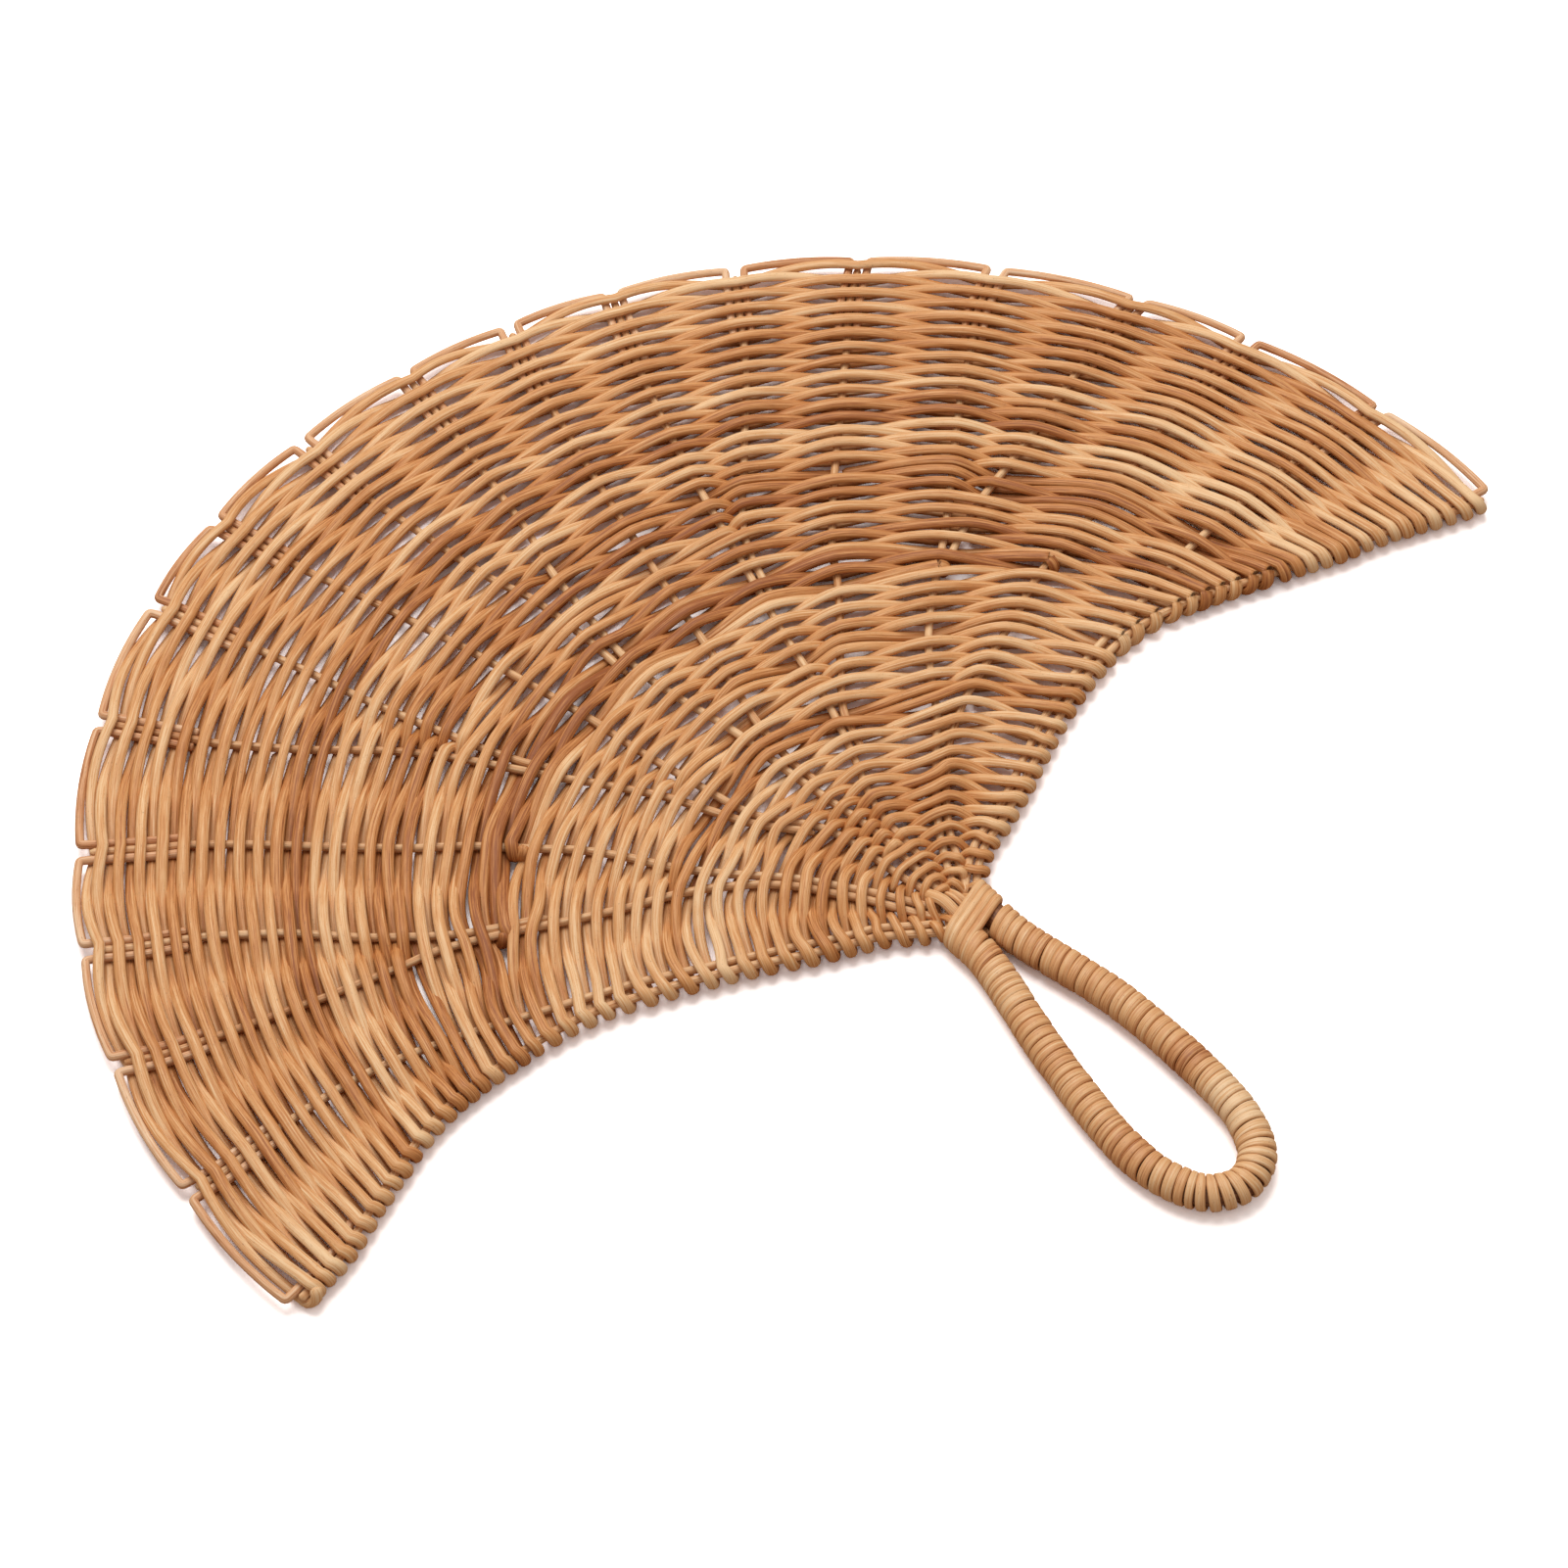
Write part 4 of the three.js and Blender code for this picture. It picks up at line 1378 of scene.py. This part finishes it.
@dataclass
class Lashing:
    """The lashing round the neck."""

    loop: LoopLine
    turns: int = 4
    steps: int = 26
    top: float = 2.2
    length: float = 11.6
    inset: float = 1.25
    sway: float = 0.3
    sides: int = 16
    squash: float = 0.78
    tone: float = 0.5
    tone_drift: Drift = Drift(0.16, 25.0, 41)
    girth: float = 0.5
    girth_drift: Drift = Drift(0.035, 14.0, 43)
    pattern: float = 980.0
    seed: int = 37

    def build(self) -> list[Surface]:
        """Makes the lashing: slanted turns of reed round both legs.

        Each half turn is half a circle round one leg, and the turns step down the neck.

        Returns:
            Its surface.
        """
        loop, halves = self.loop, 2 * self.turns
        pitch = self.length / self.turns
        radius = loop.outer_radius - self.inset
        half = np.repeat(np.arange(halves), self.steps)
        share = np.tile(np.arange(self.steps) / self.steps, halves)
        side = np.where(half % 2, -1.0, 1.0)
        angle = np.pi * (half - 0.5 + share)
        sways = np.random.default_rng(self.seed).uniform(-self.sway, self.sway, halves + 1)
        x = side * loop.leg + loop.breadth * radius * np.cos(angle)
        down = (self.length - pitch) * (half + share) / halves
        sway = np.interp(half + share, np.arange(halves + 1), sways)
        y = loop.slope(radius) * x - self.top - pitch / 2 - down + sway
        z = loop.height + radius * np.sin(angle)
        ups = np.stack([np.cos(angle), np.zeros_like(angle), np.sin(angle)], axis=1)
        path = Path(np.stack([x, y, z], axis=1), ups, np.full(len(x), self.tone))
        path.tone += self.tone_drift.along(path.distance)
        girth = pitch * (self.girth + self.girth_drift.along(path.distance))
        return [sweep_round(path, girth, self.sides, self.squash, self.pattern)]


@dataclass(frozen=True)
class RodEnd:
    """A rod's end that shows between the lashing and the first row.

    Attributes:
        radius: Its radius.
        across: Where its foot, middle and top lie to the right of the hub.
        top: Height of its top.
        pattern: Its offset in the wood's pattern.
    """

    radius: float
    across: tuple[float, float, float]
    top: float
    pattern: float


@dataclass
class HubStrands:
    """The rod ends at both sides of the hub: a wide one at the left, two thin ones at the right."""

    plan: FanPlan
    left: tuple[RodEnd, ...] = (RodEnd(1.75, (-2.3, -2.8, -3.9), 6.9, 990.0),)
    right: tuple[RodEnd, ...] = (
        RodEnd(0.8, (0.9, 0.6, 0.1), 5.3, 987.6),
        RodEnd(0.76, (2.5, 2.2, 1.7), 4.8, 992.4),
    )
    below_neck: float = 1.6
    above_rib: float = 0.2
    rise: float = 0.4
    heights: tuple[float, float, float] = (-0.9, 0.5, -1.1)
    sides: int = 16
    squash: float = 0.8
    step: float = 0.5
    tone: float = 0.68

    def rod(self, end: RodEnd) -> Surface:
        """Makes a rod end: a smooth line over its foot, middle and top."""
        foot = -self.plan.neck_below_hub - self.below_neck
        above = self.plan.rib_diameter / 2 + self.above_rib
        z = above + end.radius * self.squash + np.array(self.heights)
        y = (foot, (end.top + foot) / 2 + self.rise, end.top)
        path = Path.lying(through(np.column_stack([end.across, y, z]), self.step), self.tone)
        girth = round_off(path, end.radius)
        return sweep_round(path, girth, self.sides, self.squash, end.pattern)

    def build(self) -> dict[str, list[Surface]]:
        """Makes the rod ends of both sides, by the name of their node."""
        sides = {"hub_strand_left": self.left, "hub_strand_right": self.right}
        return {name: [self.rod(end) for end in ends] for name, ends in sides.items()}


# Finishes


def linear(hex_colour: str) -> tuple[float, float, float, float]:
    """Turns an sRGB hex colour into linear red, green, blue and alpha.

    Args:
        hex_colour: Colour such as "#d6a072".

    Returns:
        Linear values.
    """
    values = [int(hex_colour[k : k + 2], 16) / 255 for k in (1, 3, 5)]
    bent = [v / 12.92 if v <= 0.04045 else ((v + 0.055) / 1.055) ** 2.4 for v in values]
    return bent[0], bent[1], bent[2], 1.0


def add_node(
    tree: bpy.types.NodeTree, kind: str, inputs: dict | None = None, **settings: object
) -> bpy.types.Node:
    """Adds a node with its settings and links.

    Args:
        tree: Tree that gets the node.
        kind: Type of the node.
        inputs: Value or output socket for each input, by name or number.
        **settings: Attributes of the node.

    Returns:
        The node.
    """
    node = tree.nodes.new(kind)
    for name, value in settings.items():
        setattr(node, name, value)
    for key, value in (inputs or {}).items():
        if isinstance(value, bpy.types.NodeSocket):
            tree.links.new(value, node.inputs[key])
        else:
            node.inputs[key].default_value = value
    return node


def empty_tree(owner: bpy.types.Material | bpy.types.World) -> bpy.types.NodeTree:
    """Switches a material's or world's nodes on and gives back its tree with none in it."""
    owner.use_nodes = True
    owner.node_tree.nodes.clear()
    return owner.node_tree


@dataclass(frozen=True)
class RattanFinish:
    """Peeled rattan core or split reed, boiled, bent and left unvarnished.

    The wood is a bundle of straight tubes, so it shows fine streaks and short dark pores along its
    length, a satin gleam on the crown, and slow patches of straw, tan and brown. Streaks, fibres,
    patches and pores are given by length and width in millimetres and octaves of finer noise.
    """

    name: str
    dark: str = "#94501f"
    warm: str = "#c37d40"
    tan: str = "#d99d63"
    pale: str = "#ecc393"
    pore: str = "#7a4524"
    warm_place: float = 0.32
    tan_place: float = 0.62
    roughness: float = 0.56
    refraction: float = 1.48
    streaks: tuple[float, float, float] = (22.0, 0.5, 2.0)
    fibres: tuple[float, float, float] = (5.0, 0.16, 2.0)
    patches: tuple[float, float, float] = (38.0, 9.0, 2.0)
    pores: tuple[float, float, float] = (0.8, 0.3, 1.0)
    streak_contrast: float = 1.45
    fibre_share: float = 0.7
    patch_contrast: float = 0.4
    noise_mean: float = 1.42
    noise_roughness: float = 0.55
    pore_range: tuple[float, float] = (0.66, 0.78)
    pore_cover: float = 0.55
    ridge_depth: float = 0.16
    ridge_strength: float = 0.7

    def build(self) -> bpy.types.Material:
        """Makes the material: tone and streaks pick a colour on a ramp, and pores darken it.

        Returns:
            The material.
        """
        material = bpy.data.materials.new(self.name)
        tree = empty_tree(material)
        grain = add_node(tree, "ShaderNodeAttribute", attribute_name="grain").outputs["Vector"]
        tone = add_node(tree, "ShaderNodeAttribute", attribute_name="tone").outputs["Fac"]
        wide = self.noise(tree, grain, *self.streaks)
        fine = self.noise(tree, grain, *self.fibres)
        streak = self.add(tree, fine, self.fibre_share, wide)
        patch = self.noise(tree, grain, *self.patches)
        pores = self.noise(tree, grain, *self.pores)
        mixed = self.add(tree, streak, self.streak_contrast, tone)
        mixed = self.add(tree, patch, self.patch_contrast, mixed)
        terms = {0: mixed, 1: self.noise_mean}
        mixed = add_node(tree, "ShaderNodeMath", terms, operation="SUBTRACT").outputs[0]
        ramp = add_node(tree, "ShaderNodeValToRGB", {"Fac": mixed})
        elements = ramp.color_ramp.elements
        elements[0].color, elements[1].color = linear(self.dark), linear(self.pale)
        for place, colour in ((self.warm_place, self.warm), (self.tan_place, self.tan)):
            elements.new(place).color = linear(colour)
        least, most = self.pore_range
        span = {"Value": pores, "From Min": least, "From Max": most, "To Max": self.pore_cover}
        spots = add_node(tree, "ShaderNodeMapRange", span).outputs["Result"]
        layers = {"Factor": spots, 6: ramp.outputs["Color"], 7: linear(self.pore)}
        colour = add_node(tree, "ShaderNodeMix", layers, data_type="RGBA")
        depth = self.ridge_depth * MILLIMETRE
        relief = {"Height": streak, "Strength": self.ridge_strength, "Distance": depth}
        bump = add_node(tree, "ShaderNodeBump", relief)
        shader = add_node(tree, "ShaderNodeBsdfPrincipled", {
            "Base Color": colour.outputs[2],
            "Roughness": self.roughness,
            "IOR": self.refraction,
            "Normal": bump.outputs["Normal"],
        })
        add_node(tree, "ShaderNodeOutputMaterial", {"Surface": shader.outputs["BSDF"]})
        return material

    def add(
        self,
        tree: bpy.types.NodeTree,
        value: bpy.types.NodeSocket,
        factor: float,
        total: bpy.types.NodeSocket,
    ) -> bpy.types.NodeSocket:
        """Adds a value times a factor to a total."""
        terms = {0: value, 1: factor, 2: total}
        return add_node(tree, "ShaderNodeMath", terms, operation="MULTIPLY_ADD").outputs[0]

    def noise(
        self,
        tree: bpy.types.NodeTree,
        grain: bpy.types.NodeSocket,
        length: float,
        width: float,
        detail: float,
    ) -> bpy.types.NodeSocket:
        """Adds a noise drawn out along the fibres.

        Args:
            tree: Tree that gets the nodes.
            grain: Place in the wood, in millimetres.
            length: Size of its spots along the fibres, in millimetres.
            width: Their size across, in millimetres.
            detail: Octaves of finer noise.

        Returns:
            Its value.
        """
        terms = {0: grain, 1: (1.0 / length, 1.0 / width, 1.0 / width)}
        place = add_node(tree, "ShaderNodeVectorMath", terms, operation="MULTIPLY").outputs[0]
        rough = self.noise_roughness
        spots = {"Vector": place, "Scale": 1.0, "Detail": detail, "Roughness": rough}
        return add_node(tree, "ShaderNodeTexNoise", spots).outputs["Fac"]


# Putting it together


@dataclass
class Bench:
    """Turns surfaces into pieces of the frame, with their finish."""

    hub_y: float
    middle_z: float
    finishes: dict[Slot, bpy.types.Material]

    def to_frame(self, points: np.ndarray) -> np.ndarray:
        """Moves places from millimetres about the hub to metres in the frame."""
        return points * MILLIMETRE + np.array([0.0, self.hub_y, self.middle_z])

    def mesh(self, name: str, surfaces: list[Surface]) -> bpy.types.Mesh:
        """Makes one mesh of closed tubes: quads between their rings and a cap at each end.

        Args:
            name: Name of the mesh.
            surfaces: The tubes.

        Returns:
            The mesh, shaded smooth, with its grain and tone attributes.
        """
        corners, totals, base = [], [], 0
        for surface in surfaces:
            rings, sides = surface.grid.shape[:2]
            index = base + np.arange(rings * sides).reshape(rings, sides)
            beside = np.roll(index, -1, axis=1)
            quads = np.stack([index[:-1], beside[:-1], beside[1:], index[1:]], axis=-1)
            corners += [quads.ravel(), index[0, ::-1], index[-1]]
            totals += [np.full(quads.size // 4, 4), [sides, sides]]
            base += rings * sides
        corner = np.concatenate(corners).astype(np.int32)
        total = np.concatenate(totals).astype(np.int32)
        places = self.to_frame(np.concatenate([s.grid.reshape(-1, 3) for s in surfaces]))
        grains = np.concatenate([s.grain.reshape(-1, 3) for s in surfaces])
        tones = np.concatenate([s.tone.ravel() for s in surfaces])
        mesh = bpy.data.meshes.new(name)
        mesh.vertices.add(base)
        mesh.loops.add(len(corner))
        mesh.polygons.add(len(total))
        mesh.vertices.foreach_set("co", places.astype(np.float32).ravel())
        mesh.loops.foreach_set("vertex_index", corner)
        mesh.polygons.foreach_set("loop_start", (np.cumsum(total) - total).astype(np.int32))
        mesh.polygons.foreach_set("use_smooth", np.ones(len(total), dtype=bool))
        mesh.update(calc_edges=True)
        grain = mesh.attributes.new("grain", "FLOAT_VECTOR", "POINT")
        grain.data.foreach_set("vector", grains.astype(np.float32).ravel())
        tone = mesh.attributes.new("tone", "FLOAT", "POINT")
        tone.data.foreach_set("value", tones.astype(np.float32))
        return mesh

    def place(
        self, name: str, surfaces: list[Surface], slot: Slot, nodes: tuple[str, ...]
    ) -> None:
        """Puts a piece into the frame, with its finish, in place of its nodes.

        Args:
            name: Name of the piece.
            surfaces: Its tubes.
            slot: Its material slot.
            nodes: The nodes that it stands for.
        """
        piece = bpy.data.objects.new(name, self.mesh(name, surfaces))
        bpy.context.scene.collection.objects.link(piece)
        piece.data.materials.append(self.finishes[slot])
        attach(piece, "root")
        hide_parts(*nodes)
        LOG.info("%s: %d faces", name, len(piece.data.polygons))


@dataclass
class Studio:
    """A pale floor, soft light from above and the camera."""

    target: tuple[float, float, float] = (-0.0084, -0.003, 0.0042)
    place: tuple[float, float, float] = (-0.6505, -0.7665, 1.2661)
    lens: float = 131.1
    sensor: float = 36.0
    clip: tuple[float, float] = (0.05, 50.0)
    floor_size: float = 6.0
    floor_gap: float = 0.0003
    floor_tint: str = "#a98b74"
    floor_seen: tuple[float, float, float, float] = (1.95, 1.82, 1.77, 1.0)
    world_strength: float = 0.48
    lamp_place: tuple[float, float, float] = (0.25, 0.75, 1.75)
    lamp_power: float = 29.0
    lamp_size: float = 1.6

    def build(self) -> None:
        """Makes the floor, world, lamp and camera."""
        scene = bpy.context.scene
        scene.view_settings.view_transform = "Standard"
        self.floor()
        self.world()
        lamp = bpy.data.lights.new("softbox", "AREA")
        lamp.shape, lamp.size = "DISK", self.lamp_size
        lamp.energy = self.lamp_power
        self.aim("softbox", lamp, self.lamp_place, (0.0, 0.0, 0.0))
        camera = bpy.data.cameras.new("camera")
        camera.lens, camera.sensor_width = self.lens, self.sensor
        camera.clip_start, camera.clip_end = self.clip
        scene.camera = self.aim("camera", camera, self.place, self.target)

    def aim(
        self, name: str, data: bpy.types.ID, place: tuple[float, ...], target: tuple[float, ...]
    ) -> bpy.types.Object:
        """Places a lamp or camera and turns it to a target.

        Args:
            name: Name of the object.
            data: Lamp or camera.
            place: Where it stands.
            target: Where it looks.

        Returns:
            The object.
        """
        item = bpy.data.objects.new(name, data)
        bpy.context.scene.collection.objects.link(item)
        item.location = place
        item.rotation_euler = (Vector(target) - Vector(place)).to_track_quat("-Z", "Y").to_euler()
        return item

    def floor(self) -> None:
        """Makes the floor: matt, white to the camera, tan in the light that it throws back."""
        half = self.floor_size / 2
        corners = [(-half, -half), (half, -half), (half, half), (-half, half)]
        mesh = bpy.data.meshes.new("floor")
        mesh.from_pydata([(x, y, -self.floor_gap) for x, y in corners], [], [(0, 1, 2, 3)])
        floor = bpy.data.objects.new("floor", mesh)
        bpy.context.scene.collection.objects.link(floor)
        material = bpy.data.materials.new("matt_white_floor")
        tree = empty_tree(material)
        camera = add_node(tree, "ShaderNodeLightPath").outputs["Is Camera Ray"]
        colours = {"Factor": camera, 6: linear(self.floor_tint), 7: self.floor_seen}
        seen = add_node(tree, "ShaderNodeMix", colours, data_type="RGBA")
        paint = add_node(tree, "ShaderNodeBsdfDiffuse", {"Color": seen.outputs[2]})
        add_node(tree, "ShaderNodeOutputMaterial", {"Surface": paint.outputs[0]})
        mesh.materials.append(material)

    def world(self) -> None:
        """Makes the world: even white light, and plain white where the camera sees it."""
        world = bpy.data.worlds.new("studio")
        bpy.context.scene.world = world
        tree = empty_tree(world)
        camera = add_node(tree, "ShaderNodeLightPath").outputs["Is Camera Ray"]
        span = {"Value": camera, "To Min": self.world_strength, "To Max": 1.0}
        strength = add_node(tree, "ShaderNodeMapRange", span).outputs["Result"]
        white = {"Color": (1.0, 1.0, 1.0, 1.0), "Strength": strength}
        light = add_node(tree, "ShaderNodeBackground", white)
        add_node(tree, "ShaderNodeOutputWorld", {"Surface": light.outputs[0]})


def main() -> None:
    """Builds the fan in order, then the studio round it."""
    logging.basicConfig(level=logging.INFO, format="%(message)s")
    plan = FanPlan()
    loop = LoopLine(plan)
    low, high = (np.array(corner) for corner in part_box(f"rib_{plan.middle + 1:02d}"))
    hub_y = low[1] + (plan.neck_below_hub - plan.clearance) * MILLIMETRE
    finishes = {
        Slot.RIB: RattanFinish("peeled_rattan_rib", warm="#c58650", tan="#d9a470"),
        Slot.WEAVER: RattanFinish("peeled_rattan_weaver"),
        Slot.RIM: RattanFinish("peeled_rattan_rim", warm="#cd8d5c", tan="#dfab7d", pale="#efcba6"),
        Slot.POLE: RattanFinish(
            "rattan_pole", dark="#5e3418", warm="#85512c", tan="#9c6338", pale="#b27a4b"
        ),
        Slot.STRIP: RattanFinish(
            "split_reed", warm="#cf8f59", tan="#dea871", pale="#ecc699", roughness=0.5
        ),
    }
    built = {slot: finish.build() for slot, finish in finishes.items()}
    bench = Bench(hub_y, (low[2] + high[2]) / 2, built)
    made = (
        (Slot.RIB, "rod", Ribs(plan).build()),
        (Slot.RIM, "rod", Rim(plan).build()),
        (Slot.WEAVER, "strand", Weave(plan).build()),
        (Slot.POLE, "rod", {"handle_core": Core(loop).build()}),
        (Slot.STRIP, "reed", {"handle_wrap": Winding(loop).build()}),
        (Slot.STRIP, "reed", {"neck_lashing": Lashing(loop).build()}),
        (Slot.WEAVER, "rod", HubStrands(plan).build()),
    )
    for slot, word, pieces in made:
        for node, surfaces in pieces.items():
            bench.place(f"{node}_{word}", surfaces, slot, (node,))
    Studio().build()


if __name__ == "__main__":
    main()
